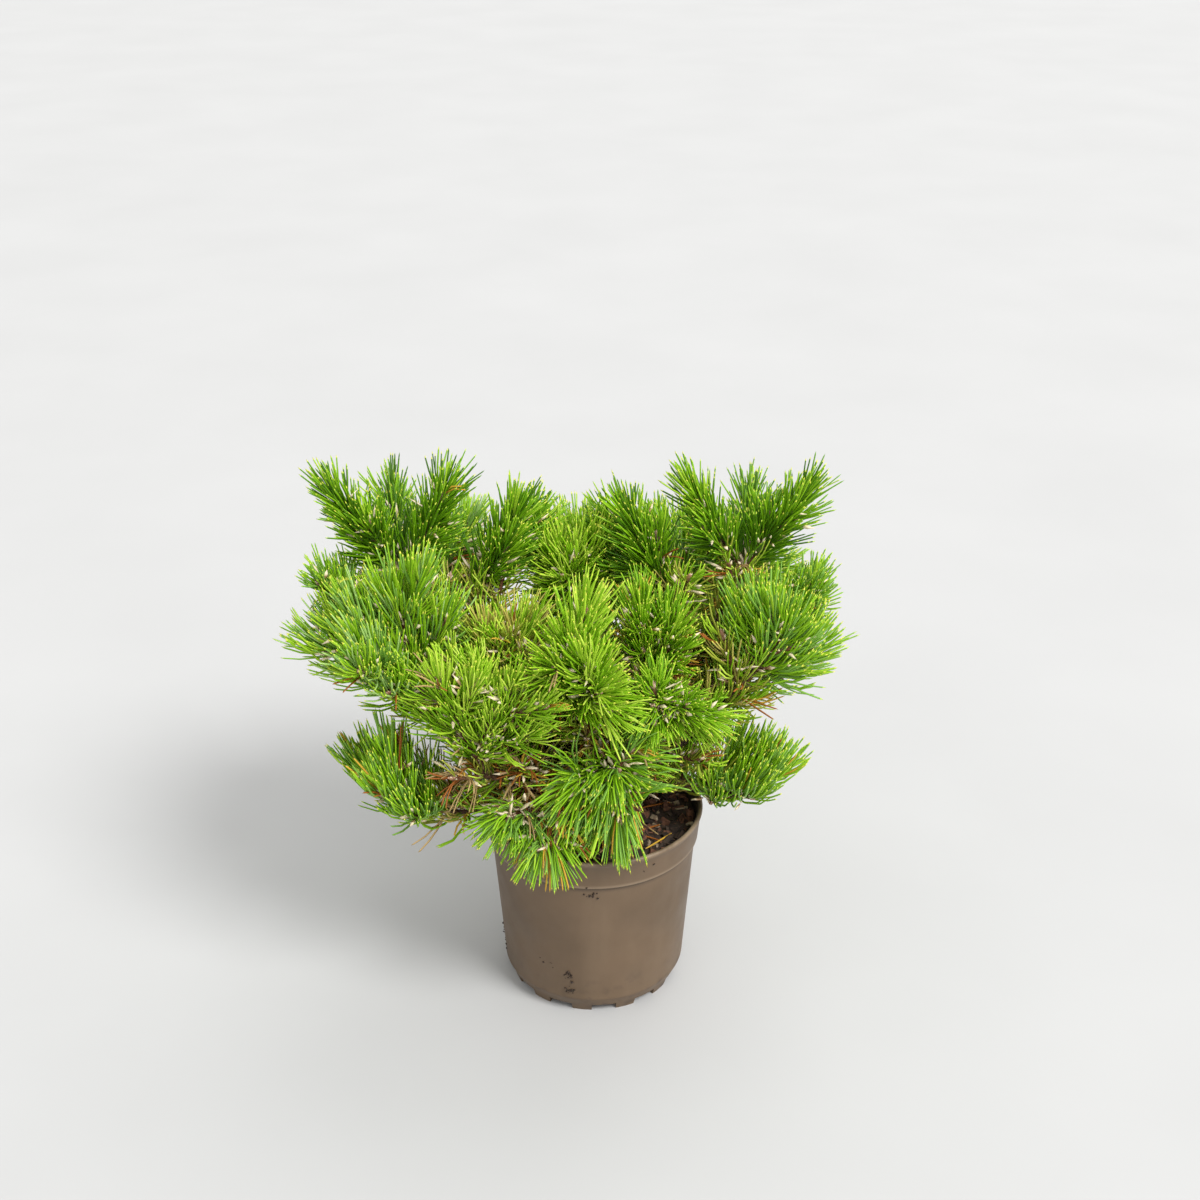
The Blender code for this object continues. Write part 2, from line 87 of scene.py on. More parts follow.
WAVE_SIZE = 6
WAVE_DEPTH = 0.0004
SHARP_EDGE = math.radians(40)

# The soil, flat under the trunk and lower at the wall, and what lies on it
SOIL_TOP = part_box("potting_soil")[1].z
SOIL_FALL = 0.0035
SOIL_FLAT = 0.030
SOIL_ROWS = 64
LUMP_SIZE = 70
PIT_SIZE = 28
CRUMB_HEIGHT = 0.0022
LUMP_LIMIT = 0.0015
CHIPS = 1500
CHIP_SIZES = (0.0024, 0.0080)
CHIP_MARGIN = 0.005
CHIP_TILT = 0.35
CHIP_WIDTHS = (0.35, 0.8)
CHIP_HEIGHTS = (0.25, 0.6)
CHIP_UNEVEN = 0.22
CHIP_LIFT = 0.12
FALLEN = 36
FALLEN_LENGTHS = (0.028, 0.058)
FALLEN_MARGIN = 0.006
FALLEN_CLEAR = 0.002
BOX_CORNERS = np.array([(x, y, z) for x in (-0.5, 0.5) for y in (-0.5, 0.5) for z in (-0.5, 0.5)])
BOX_FACES = np.array([(0, 1, 3, 2), (4, 6, 7, 5), (0, 4, 5, 1), (2, 3, 7, 6), (0, 2, 6, 4), (1, 5, 7, 3)])

# Dried soil on the pot's outside: azimuth, height, how many crumbs and how far they spread
SPLASHES = (
    (268, 0.143, 9, 0.006),
    (254, 0.044, 18, 0.008),
    (255, 0.026, 16, 0.006),
    (243, 0.050, 5, 0.010),
    (301, 0.164, 3, 0.005),
    (30, 0.030, 14, 0.014),
    (120, 0.026, 12, 0.016),
    (190, 0.034, 10, 0.014),
)
SPLASH_SIZES = (0.0008, 0.0024)
SPLASH_FLATNESS = 0.6

# The plant, a little to the right of the pot's middle
PLANT_PLACE = Vector((0.005, 0.0, 0.0))

# The trunk, from its cut at the soil to its last whorl
TRUNK_CUT = SOIL_TOP + GAP
TRUNK_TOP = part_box("trunk")[1].z
TRUNK_FLARE = 0.0165
TRUNK_FOOT = 0.0120
TRUNK_TIP = 0.0070
TRUNK_LEAN = Vector((-0.014, 0.006, 0.0))
FLARE_FADE = 9

# The boughs and the leafy stems that they end in
BARE_SHARE = 4 / 7
BOUGH_BASE = 0.0036
BOUGH_BASE_BY_LENGTH = 0.008
BOUGH_TAPER = 0.8
BOUGH_BEND_OUT = 0.62
BOUGH_BEND_UP = 0.30
TWIG_RADIUS = 0.0026
TURN_LENGTH = 0.022

# The shoots and how their needles stand
SHOOT_POINTS = 5
SHOOT_CURL = 0.16
SHOOT_DROOP = -0.10
SHOOT_JITTER = 0.06
NEEDLE_LENGTH = 0.066
NEEDLE_FIRST = 0.06
NEEDLE_LIFT = 0.7
GOLDEN_TURN = math.radians(137.5)
SEED = 41

# A bough ends at azimuth, reach and height, seen from the trunk, and leaves the trunk at the height whorl.
# Its foliage heads along heading and rise and forks into arms shoots, spread degrees off that and turned
# by roll. Needles bend up where lift is above 0, and needles is how long they are beside the longest.
Branch = namedtuple(
    "Branch", "name azimuth reach height whorl heading rise arms spread roll length lift needles"
)
BRANCHES = (
    Branch("lower_front", 286, 0.037, 0.229, 0.186, 262, 12, 3, 35, 303, 0.044, -0.60, 1.00),
    Branch("lower_front_left", 228, 0.064, 0.211, 0.193, 242, -28, 3, 54, 244, 0.037, -0.70, 0.80),
    Branch("centre_front", 225, 0.033, 0.301, 0.256, 284, 40, 2, 24, 109, 0.063, 0.10, 0.92),
    Branch("front_left", 209, 0.110, 0.240, 0.210, 297, 87, 3, 24, 59, 0.092, 0.30, 0.75),
    Branch("left_middle", 186, 0.135, 0.283, 0.219, 194, 50, 3, 22, 222, 0.096, 0.60, 0.95),
    Branch("lower_left", 192, 0.126, 0.186, 0.186, 193, 21, 2, 33, 199, 0.072, 1.00, 1.00),
    Branch("far_left", 175, 0.189, 0.330, 0.196, 142, 17, 2, 38, 61, 0.058, 0.35, 0.65),
    Branch("upper_left", 160, 0.183, 0.360, 0.234, 111, 67, 3, 42, 257, 0.080, 0.05, 0.80),
    Branch("upper_middle_left", 155, 0.124, 0.351, 0.262, 29, 45, 2, 19, 123, 0.072, 0.05, 0.80),
    Branch("back_centre", 106, 0.085, 0.321, 0.244, 92, 89, 3, 27, 335, 0.052, 0.05, 0.85),
    Branch("upper_middle_right", 38, 0.084, 0.351, 0.258, 152, 44, 2, 19, 58, 0.070, 0.05, 0.80),
    Branch("upper_right", 27, 0.140, 0.366, 0.234, 74, 67, 3, 45, 40, 0.072, 0.05, 0.80),
    Branch("right_middle", 356, 0.124, 0.304, 0.197, 20, 41, 3, 32, 264, 0.048, 0.60, 0.95),
    Branch("far_right", 18, 0.154, 0.319, 0.223, 323, 49, 2, 19, 18, 0.051, 0.15, 0.65),
    Branch("lower_right", 7, 0.081, 0.191, 0.187, 337, 4, 2, 32, 349, 0.062, 1.00, 1.00),
    Branch("right_front", 333, 0.054, 0.281, 0.211, 293, 33, 2, 30, 157, 0.043, -0.25, 0.70),
    Branch("back_left", 139, 0.177, 0.270, 0.214, 130, 52, 3, 28, 90, 0.084, 0.10, 0.90),
    Branch("back", 94, 0.162, 0.250, 0.196, 95, 52, 3, 28, 90, 0.074, 0.10, 0.90),
    Branch("back_right", 62, 0.146, 0.276, 0.208, 52, 52, 3, 28, 90, 0.084, 0.10, 0.90),
    Branch("lower_back_left", 134, 0.135, 0.205, 0.187, 135, 14, 2, 30, 0, 0.078, 1.00, 1.00),
    Branch("lower_back_right", 58, 0.130, 0.205, 0.186, 62, 14, 2, 30, 0, 0.078, 1.00, 1.00),
    Branch("inner_left", 190, 0.070, 0.292, 0.248, 150, 76, 2, 22, 90, 0.045, 0.30, 0.75),
    Branch("inner_right", 4, 0.034, 0.300, 0.247, 330, 74, 2, 22, 90, 0.045, 0.30, 0.75),
)

# Finer growth than the CAD carries: side shoots on most shoots, and old twigs along the bare boughs
SIDE_PLACES = (0.10, 0.30, 0.50, 0.70)
SWEPT_PLACES = (0.15, 0.55)
SWEPT_LIFT = 1.0
SIDE_LENGTH = 0.48
SIDE_REACHES = (0.8, 1.1)
SIDE_SPREAD = math.radians(46)
SIDE_LEANS = (0.85, 1.15)
FILL_PLACES = (0.20,)
FILL_SPREAD = math.radians(24)
FOXTAILS = ("upper_left", "upper_right", "upper_middle_left", "upper_middle_right")
OLD_PLACES = (0.44, 0.57, 0.70, 0.83, 0.96)
STEM_PLACES = (0.15, 0.50, 0.80)
OLD_LENGTHS = (0.030, 0.050)
OLD_SPREAD = math.radians(62)
OLD_RISES = (0.1, 0.8)

# How finely limbs are meshed, and their relief: how many plates and scars a metre and how deep for a radius
TRUNK_STEPS = 60
TRUNK_SIDES = 44
TRUNK_RINGS = 0.0012
LIMB_STEPS = 60
LIMB_SIDES = 14
LIMB_RINGS = 0.0022
TURN_STEPS = 12
TWIG_SIDES = 6
TWIG_RINGS = 0.0038
SHOOT_BASE = 0.0025
SHOOT_TIP = 0.0017
END_CAP = 0.4
BARK_PLATES = 150
BARK_STRETCH = 0.45
BARK_DEPTH = 0.16
RIFT_SLOPE = 3.5
GRAIN_SIZE = 260
GRAIN_DEPTH = 0.10
SCAR_SIZE = 520
SCAR_DEPTH = 0.20

# Needles in pairs out of a sheath. A kind of line is clad by how many pairs a metre it carries, how far
# they lean from it at its start and end, how long they are there, how many of them are dead, how much they
# curve and how many of them turn up or down with their spray
Cladding = namedtuple("Cladding", "pairs_a_metre leans sizes dead curve turned")
SHOOT = Cladding(880, (math.radians(48), math.radians(18)), (1.0, 0.80), 0.3, 1.0, 0.85)
FOXTAIL = Cladding(1500, (math.radians(42), math.radians(16)), (0.95, 0.90), 0.1, 0.5, 0.85)
SIDE = Cladding(1000, (math.radians(40), math.radians(18)), (0.94, 0.74), 0.3, 1.1, 0.85)
STEM = Cladding(850, (math.radians(60), math.radians(42)), (0.86, 0.95), 1.2, 1.2, 0.35)
OLD = Cladding(520, (math.radians(60), math.radians(28)), (0.78, 0.62), 3.5, 1.6, 0.35)
NEEDLE_RADIUS = 0.00100
NEEDLE_RINGS = ((0.0, 0.60), (0.30, 1.0), (0.66, 0.96), (0.94, 0.78))
NEEDLE_BOW = 0.26
PAIR_SPREAD = (0.07, 0.17)
SHEATH_LENGTH = 0.0085
SHEATH_RADIUS = 0.00125
SHEATH_RINGS = ((0.0, 1.0), (1.0, 0.82))
LEAN_JITTER = math.radians(16)
LENGTHS = (0.72, 1.08)
LIFTS = (0.5, 1.5)
DEAD_SPREAD = (0.3, 0.7, 2.0)
SWAY = 0.34
RESTING_LIFTS = (0.0, 0.35, 0.9)
DEAD_DROOP = 0.6
NEEDLE_SIDES = 3
LIT_SHARE = 0.35
BOWS = (-0.3, 1.6)
GIRTHS = (0.85, 1.15)
ROOM_SHARES = (0.4, 0.6, 0.8, 1.0)
PIECE_LIMIT = 190000

# Buds, and papery scales and flakes
SHORT_SHOOT = 0.040
BUD_SIDES = 6
BUD_LENGTH = 0.0085
BUD_RADIUS = 0.0024
BUD_SIZES = (0.8, 1.2)
BUD_SINK = 0.001
BUD_OUTLINE = ((0.0, 0.55), (0.18, 0.92), (0.40, 1.0), (0.65, 0.78), (0.85, 0.42))
SIDE_BUDS = 3
SIDE_BUD_SIZE = 0.6
SIDE_BUD_TURN = 2.1
SIDE_BUD_LEAN = (0.9, 0.6)
SCALE_RINGS = ((0.0, 0.55), (0.45, 1.0))
SCALE_PLACES = (0.02, 0.97)
SCALE_SHIFT = 0.004
SCALES_A_KNOT = 7
SCALE_LENGTHS = (0.0045, 0.0090)
SCALE_RADII = (0.0009, 0.0016)
FLAKES_A_METRE = 200
FLAKE_SPREADS = (35, 85)
FLAKE_REACH = 0.018
FLAKE_LENGTHS = (0.008, 0.019)
FLAKE_RADII = (0.0012, 0.0024)
BROWN_FLAKES = 0.3

# The side of the pot that lies open to the front, as the photo shows its soil there
OPEN_ACROSS = (0.045, 0.104)
OPEN_DEEP = (-0.070, 0.030)
OPEN_SLANT = 1.50
BARE_MARGIN = 0.020

# The studio. A light has a name, azimuth, rise, how wide it looks in degrees, and power
FLOOR_SIZE = 30.0
CAMERA_PLACE = (0.0059, -1.34187, 1.05142)
CAMERA_DOWN = math.radians(26.3)
CAMERA_LENS = 51.36
SKY = 0.80
LIGHTS = (
    ("key_light", 318, 48, 24, 2.9),
    ("back_light", 65, 55, 40, 0.7),
    ("fill_light", 285, 30, 60, 0.5),
)

# Needle colours, dealt out by fascicle
GREENS = {
    "dark": (0.070, 0.190, 0.004),
    "deep": (0.150, 0.350, 0.006),
    "mid": (0.250, 0.490, 0.012),
    "bright": (0.390, 0.620, 0.034),
    "lime": (0.540, 0.720, 0.080),
    "cool": (0.220, 0.430, 0.060),
    "pale": (0.390, 0.600, 0.170),
    "olive": (0.330, 0.370, 0.040),
    "straw": (0.560, 0.480, 0.120),
}
TIPS = {"tip_yellow": (0.680, 0.700, 0.080), "tip_lime": (0.500, 0.660, 0.060)}
DEAD = {"rust": (0.340, 0.110, 0.018), "amber": (0.620, 0.370, 0.040), "straw": (0.480, 0.330, 0.140)}
SHEATH_BROWN = (0.270, 0.200, 0.110)
BUD_COLOURS = {"brown": (0.330, 0.170, 0.100), "pink": (0.480, 0.300, 0.220)}
SCALE_COLOURS = {"pale": (0.860, 0.720, 0.500), "brown": (0.520, 0.330, 0.170)}

# From the shaded to the lit end of a spray, and the branches with those greens. All others have SIDES
UPPER = "dark dark deep dark deep mid deep mid bright".split()
MIDDLE = "deep mid mid bright mid bright lime bright".split()
MUTED = "deep mid deep mid mid bright mid bright".split()
SIDES = "deep cool mid cool mid bright pale bright".split()
LOWER = "deep cool mid cool mid mid cool bright".split()
INNER = "deep olive mid lime straw olive mid bright".split()
SHADED = "dark olive deep mid deep mid bright mid".split()
LOW_BRANCHES = [branch.name for branch in BRANCHES if branch.name.startswith("lower")]
PALETTES = {
    **dict.fromkeys(FOXTAILS, UPPER),
    **dict.fromkeys(("centre_front", "front_left", "back_centre"), MIDDLE),
    **dict.fromkeys((*LOW_BRANCHES, "far_left", "far_right", "right_middle"), LOWER),
    "right_front": MUTED,
    "inner_left": INNER,
    "inner_right": SHADED,
}
DEAD_SHARES = {
    "lower_front": 0.14,
    "lower_front_left": 0.26,
    "lower_left": 0.12,
    "front_left": 0.10,
    "inner_right": 0.16,
}
DEAD_SHARE = 0.03
TIP_SHARE = 0.8

# Barks: name, crack, plate, pale plate and plates a metre. Soils: name, dark, light and grains a metre
BARKS = (
    ("bark", (0.020, 0.013, 0.009), (0.078, 0.050, 0.034), (0.190, 0.140, 0.100), 150),
    ("stem_bark", (0.030, 0.013, 0.008), (0.130, 0.060, 0.032), (0.270, 0.165, 0.100), 320),
    ("twig_bark", (0.050, 0.018, 0.009), (0.180, 0.070, 0.030), (0.330, 0.170, 0.085), 420),
)
SOILS = (
    ("potting_soil", (0.010, 0.006, 0.004), (0.060, 0.036, 0.022), 160),
    ("red_chips", (0.060, 0.022, 0.012), (0.190, 0.085, 0.045), 200),
    ("pale_litter", (0.190, 0.130, 0.080), (0.420, 0.330, 0.220), 200),
)

# The pot's plastic and what wears and dirties it, with shade painted under its ledge and on its inner side,
# and a highlight painted on the ledge's edge
TAUPES = ((0.105, 0.067, 0.036), (0.138, 0.089, 0.050))
WORN = (0.180, 0.124, 0.074)
SCUFFED_LIP = (0.340, 0.255, 0.170)
# Painted shade in a thin band under the collar's ledge
LEDGE_PAINTED_SHADE = (0.060, 0.040, 0.025)
# Painted highlight along the ledge's edge
LEDGE_PAINTED_HIGHLIGHT = (0.290, 0.215, 0.140)
SPLASHED = (0.075, 0.048, 0.030)
SPECKED = (0.085, 0.056, 0.038)
# The inner side's plastic, darkened by damp soil and by painted shade
INSIDE_SOIL_AND_SHADE = (0.095, 0.076, 0.060)
SMEARS = ((0.030, 0.022, 0.016), (0.095, 0.072, 0.052))
FLOOR_GREYS = ((0.47, 0.47, 0.465), (0.49, 0.49, 0.485))

# Where most of a noise lies, and the Mix node's places for its share and two colours
NOISE_RANGE = (0.3, 0.7)
MIX_PLACES = (0, 6, 7)

UP = Vector((0.0, 0.0, 1.0))


def polar(azimuth, rise):
    """The direction with an azimuth, from +X towards the back, and a rise above the horizon, in degrees."""
    turn, tilt = math.radians(azimuth), math.radians(rise)
    return Vector((math.cos(turn) * math.cos(tilt), math.sin(turn) * math.cos(tilt), math.sin(tilt)))


def beside(axis, turn):
    """The direction at right angles to an axis, turned round it."""
    side = axis.orthogonal().normalized()
    return side * math.cos(turn) + axis.cross(side) * math.sin(turn)


def blend(pair, share):
    """The number at a share of the way from the first of a pair to the second."""
    return pair[0] + (pair[1] - pair[0]) * share


# Meshes

def placed(name, data):
    """A new object in the scene."""
    made = bpy.data.objects.new(name, data)
    bpy.context.scene.collection.objects.link(made)
    return made


def tube_quads(rings, sides):
    """The quads round a tube of rings of points."""
    ring = np.arange(sides)
    after = (ring + 1) % sides
    starts = (np.arange(rings - 1) * sides)[:, None]
    quads = np.stack([starts + ring, starts + after, starts + after + sides, starts + ring + sides], -1)
    return quads.reshape(-1, 4)


def fan(point, first, sides):
    """Triangles from a point to the ring that begins at first."""
    ring = np.arange(sides)
    return np.stack([np.full(sides, point), first + ring, first + (ring + 1) % sides], -1)


def tube_faces(rings, sides):
    """The quads round a tube, and triangles that close its ends on the two points after its rings."""
    count = rings * sides
    ends = np.concatenate([fan(count, 0, sides)[:, [0, 2, 1]], fan(count + 1, count - sides, sides)])
    return tube_quads(rings, sides), ends


class Heap:
    """Many shapes gathered into one piece, with a material for each face."""

    def __init__(self):
        self.points = []
        self.faces = []
        self.finishes = []
        self.total = 0

    def add(self, points, faces, finish=0):
        """Add points and the faces on them. finish is their material's place, one for all or one each."""
        faces = np.asarray(faces, np.int32)
        self.points.append(np.asarray(points, np.float32).reshape(-1, 3))
        self.faces.append(faces + self.total)
        self.finishes.append(np.broadcast_to(np.asarray(finish, np.int32), len(faces)))
        self.total += len(self.points[-1])

    def add_closed(self, points, quads, ends, finish=0):
        """Add a tube's points, quads and end triangles."""
        self.add(points, quads, finish)
        self.add([], ends - len(points))

    def piece(self, name, slot, materials, *nodes, smooth=True):
        """Show the heap as a piece of the part, which stands for the CAD nodes."""
        made = bpy.data.meshes.new(name)
        faces = [face for faces in self.faces for face in faces.tolist()]
        made.from_pydata(np.concatenate(self.points), [], faces, shade_flat=not smooth)
        for finish in materials:
            made.materials.append(finish)
        made.polygons.foreach_set("material_index", np.concatenate(self.finishes))
        piece = placed(name, made)
        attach(piece, "root")
        if nodes:
            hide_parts(*nodes)
        return piece


# Materials

class Nodes:
    """A material's nodes, with short calls for those that the finishes share."""

    def __init__(self, name, roughness):
        self.material = bpy.data.materials.new(name)
        self.material.use_nodes = True
        self.tree = self.material.node_tree
        self.shader = self.tree.nodes["Principled BSDF"]
        self.shader.inputs["Roughness"].default_value = roughness
        self.place = self.tree.nodes.new("ShaderNodeTexCoord").outputs["Object"]

    def feed(self, socket, value):
        """Link another socket to this one, or give it a number, three numbers or a colour."""
        if isinstance(value, bpy.types.NodeSocket):
            self.tree.links.new(value, socket)
        else:
            socket.default_value = (*value, 1.0) if socket.type == "RGBA" else value

    def node(self, kind, output, inputs, **settings):
        """An output of a new node that is fed its inputs."""
        node = self.tree.nodes.new(f"ShaderNode{kind}")
        for name, value in settings.items():
            setattr(node, name, value)
        for name, value in inputs.items():
            self.feed(node.inputs[name], value)
        return node.outputs[output]

    def stretched(self, scale):
        """Object coordinates, stretched."""
        return self.node("Mapping", "Vector", {"Scale": scale, "Vector": self.place})

    def noise(self, scale, detail=4.0, place=None):
        return self.node("TexNoise", "Fac", {"Scale": scale, "Detail": detail, "Vector": place or self.place})

    def cells(self, scale, place=None):
        return self.node("TexVoronoi", "Distance", {"Scale": scale, "Vector": place or self.place})

    def ramp(self, value, *stops):
        """Colours at places from 0 to 1."""
        colours = self.node("ValToRGB", "Color", {"Fac": value})
        elements = colours.node.color_ramp.elements
        while len(elements) < len(stops):
            elements.new(1.0)
        for element, (place, colour) in zip(elements, stops):
            element.position = place
            element.color = (*colour, 1.0)
        return colours

    def between(self, value, low, high, first=0.0, second=1.0):
        """A value spread from one range to another."""
        ranges = {"From Min": low, "From Max": high, "To Min": first, "To Max": second}
        return self.node("MapRange", "Result", {**ranges, "Value": value})

    def up(self, low, high, first=0.0, second=1.0):
        """The height, spread from one range to another."""
        return self.between(self.node("SeparateXYZ", "Z", {"Vector": self.place}), low, high, first, second)

    def times(self, first, second):
        return self.node("Math", "Value", {0: first, 1: second}, operation="MULTIPLY")

    def mix(self, share, first, second):
        """One colour over another by a share."""
        return self.node("Mix", 2, dict(zip(MIX_PLACES, (share, first, second))), data_type="RGBA")

    def colour(self, source):
        self.feed(self.shader.inputs["Base Color"], source)

    def roughness(self, value, low, high):
        self.feed(self.shader.inputs["Roughness"], self.between(value, *NOISE_RANGE, low, high))

    def bump(self, value, depth, strength):
        """Relief from a value, on top of any relief that is already there."""
        inputs = {"Distance": depth, "Strength": strength, "Height": value}
        normal = self.shader.inputs["Normal"]
        if normal.is_linked:
            inputs["Normal"] = normal.links[0].from_socket
        self.feed(normal, self.node("Bump", "Normal", inputs))


def pot_plastic():
    """Matt taupe plastic, mottled, scuffed pale on the lip, splashed with soil low down, with shade painted
    under the collar's ledge and a highlight painted on its edge.
    """
    nodes = Nodes("taupe_plastic", 0.5)
    look = nodes.ramp(nodes.noise(14), (0.35, TAUPES[0]), (0.65, TAUPES[1]))
    streaks = nodes.noise(38, 5.0, nodes.stretched((1.0, 1.0, 0.12)))
    lip = nodes.up(POT_HEIGHT - 0.006, POT_HEIGHT, 0.0, 0.55)
    # Painted shade: a dark band just under the collar's ledge
    under = nodes.times(nodes.up(LEDGE - 0.0070, LEDGE - 0.0030), nodes.up(LEDGE - 0.0012, LEDGE - 0.0026))
    # Painted highlight: a pale band along the ledge's edge
    edge = nodes.times(nodes.up(LEDGE + 0.0030, LEDGE + 0.0004), nodes.up(LEDGE - 0.0010, LEDGE))
    splash = nodes.between(nodes.noise(85, 8.0), 0.54, 0.70)
    specks = nodes.between(nodes.cells(120), 0.10, 0.04, 0.0, 0.55)
    layers = (
        (nodes.between(streaks, 0.50, 0.78, 0.0, 0.35), WORN),
        (nodes.times(lip, nodes.between(nodes.noise(60), 0.3, 0.6)), SCUFFED_LIP),
        # Painted shade under the ledge
        (nodes.between(under, 0.0, 1.0, 0.0, 0.6), LEDGE_PAINTED_SHADE),
        # Painted highlight on the ledge's edge
        (nodes.between(edge, 0.0, 1.0, 0.0, 0.5), LEDGE_PAINTED_HIGHLIGHT),
        (nodes.times(nodes.up(0.052, 0.004), splash), SPLASHED),
        (nodes.times(specks, nodes.between(nodes.noise(22), 0.56, 0.66)), SPECKED),
    )
    for share, colour in layers:
        look = nodes.mix(share, look, colour)
    nodes.colour(look)
    nodes.roughness(nodes.noise(30), 0.42, 0.62)
    nodes.bump(nodes.noise(900, 3.0), 0.00012, 0.35)
    nodes.bump(streaks, 0.0003, 0.25)
    return nodes.material


def pot_inside_plastic():
    """The pot's inner side, the same plastic darkened by damp soil and by painted shade."""
    nodes = Nodes("pot_inside", 0.6)
    # Damp soil and painted shade darken the whole inner side; soil smears grow towards the soil's top
    smears = nodes.ramp(nodes.noise(70, 7.0), (0.35, SMEARS[0]), (0.7, SMEARS[1]))
    nodes.colour(nodes.mix(nodes.up(POT_HEIGHT - 0.004, SOIL_TOP + 0.003), INSIDE_SOIL_AND_SHADE, smears))
    nodes.roughness(nodes.noise(50), 0.5, 0.75)
    nodes.bump(nodes.noise(400, 5.0), 0.0004, 0.5)
    return nodes.material


def soil_finish(name, dark, light, grain):
    """Crumbly earth or bark between two browns, with grain grains a metre."""
    nodes = Nodes(name, 0.9)
    nodes.colour(nodes.ramp(nodes.noise(grain, 8.0), (0.34, dark), (0.66, light)))
    nodes.roughness(nodes.noise(grain / 2), 0.78, 0.98)
    nodes.bump(nodes.noise(grain * 3, 6.0), 0.0006, 0.8)
    nodes.bump(nodes.cells(grain * 2), 0.0005, 0.6)
    return nodes.material


def bark_finish(name, crack, plate, pale, plates):
    """Flaky bark: dark in its cracks, brown on its plates and paler where they lift."""
    nodes = Nodes(name, 0.85)
    rifts = nodes.cells(plates, nodes.stretched((1.0, 1.0, BARK_STRETCH)))
    browns = nodes.ramp(nodes.noise(plates * 0.6, 7.0), (0.30, crack), (0.52, plate), (0.74, pale))
    nodes.colour(nodes.mix(nodes.between(rifts, 0.10, 0.0, 0.0, 0.8), browns, crack))
    nodes.roughness(nodes.noise(plates), 0.70, 0.95)
    nodes.bump(rifts, 0.0012, 0.6)
    nodes.bump(nodes.noise(plates * 5, 6.0), 0.0005, 0.7)
    return nodes.material


def leaf_finish(name, colour, rough):
    """A plain colour with a waxy, finely uneven surface, for needles, sheaths, buds and scales."""
    nodes = Nodes(name, rough)
    nodes.colour(colour)
    nodes.roughness(nodes.noise(260, 2.0), rough - 0.08, rough + 0.10)
    nodes.bump(nodes.noise(1500, 2.0), 0.0001, 0.4)
    nodes.shader.inputs["Specular IOR Level"].default_value = 0.28
    return nodes.material


def leaf_finishes(kind, colours, rough):
    return [leaf_finish(f"{kind}_{name}", colour, rough) for name, colour in colours.items()]


# The limbs' and shoots' lines, by the CAD source's rule

def trunk_axis(height):
    """The trunk's middle at a height."""
    share = (height - TRUNK_CUT) / (TRUNK_TOP - TRUNK_CUT)
    return PLANT_PLACE + UP * height + TRUNK_LEAN * share**2


def trunk_line():
    """Points and radii up the trunk, with its lean and root flare."""
    points, radii = [], []
    for step in range(TRUNK_STEPS):
        share = step / (TRUNK_STEPS - 1)
        points.append(trunk_axis(TRUNK_CUT + (TRUNK_TOP - TRUNK_CUT) * share))
        flare = (TRUNK_FLARE - TRUNK_FOOT) * math.exp(-share * FLARE_FADE)
        radii.append(TRUNK_FOOT + (TRUNK_TIP - TRUNK_FOOT) * share + flare)
    return points, radii


def curve_point(start, bend, end, share):
    """A point on the curve from start to end that bends towards bend."""
    return start.lerp(bend, share).lerp(bend.lerp(end, share), share)


def limb_line(branch):
    """Points and radii of a limb, from the trunk along the bough and its leafy end to the fork."""
    start = trunk_axis(branch.whorl)
    tip = PLANT_PLACE + polar(branch.azimuth, 0.0) * branch.reach
    tip.z = branch.height
    across = tip - start
    bend = start + across * BOUGH_BEND_OUT
    bend.z = start.z + across.z * BOUGH_BEND_UP
    base = BOUGH_BASE + BOUGH_BASE_BY_LENGTH * across.length
    points, radii = [], []
    for step in range(LIMB_STEPS + 1):
        share = step / LIMB_STEPS
        points.append(curve_point(start, bend, tip, share))
        radii.append(base + (TWIG_RADIUS - base) * share**BOUGH_TAPER)
    turn = tip + (tip - bend).normalized() * (TURN_LENGTH / 2)
    fork = turn + polar(branch.heading, branch.rise) * (TURN_LENGTH / 2)
    for step in range(1, TURN_STEPS + 1):
        points.append(curve_point(tip, turn, fork, step / TURN_STEPS))
        radii.append(TWIG_RADIUS)
    return points, radii


def curled(root, way, reach, curl=SHOOT_CURL):
    """A line from root along way that curls up by a share of its reach."""
    shares = [step / (SHOOT_POINTS - 1) for step in range(SHOOT_POINTS)]
    return [root + way * (reach * share) + UP * (reach * curl) * share**2 for share in shares]


def leaning(heading, lean, turn):
    """The direction that leans off a heading, turned round it."""
    side = UP.cross(heading).normalized()
    outward = side * math.cos(turn) + heading.cross(side) * math.sin(turn)
    return heading * math.cos(lean) + outward * math.sin(lean)


def shoot_lines(branch, fork, rng):
    """The shoots' middle lines: a whorl of arms round the heading."""
    heading = polar(branch.heading, branch.rise)
    jitter = (1 - SHOOT_JITTER, 1 + SHOOT_JITTER)
    spreads = [math.radians(branch.spread * rng.uniform(*jitter)) for _ in range(branch.arms)]
    lines = []
    for arm, spread in enumerate(spreads):
        way = leaning(heading, spread, math.radians(branch.roll + 360.0 * arm / branch.arms))
        curl = SHOOT_DROOP if branch.lift < SHOOT_DROOP else SHOOT_CURL
        lines.append(curled(fork, way, branch.length * rng.uniform(*jitter), curl))
    return lines


def line_length(line):
    return sum((second - first).length for first, second in zip(line, line[1:]))


def along_line(line, share):
    """The point and the direction at a share of a line's length."""
    left = share * line_length(line)
    for first, second in zip(line, line[1:]):
        length = (second - first).length
        if left <= length or second is line[-1]:
            return first.lerp(second, left / length), (second - first).normalized()
        left -= length


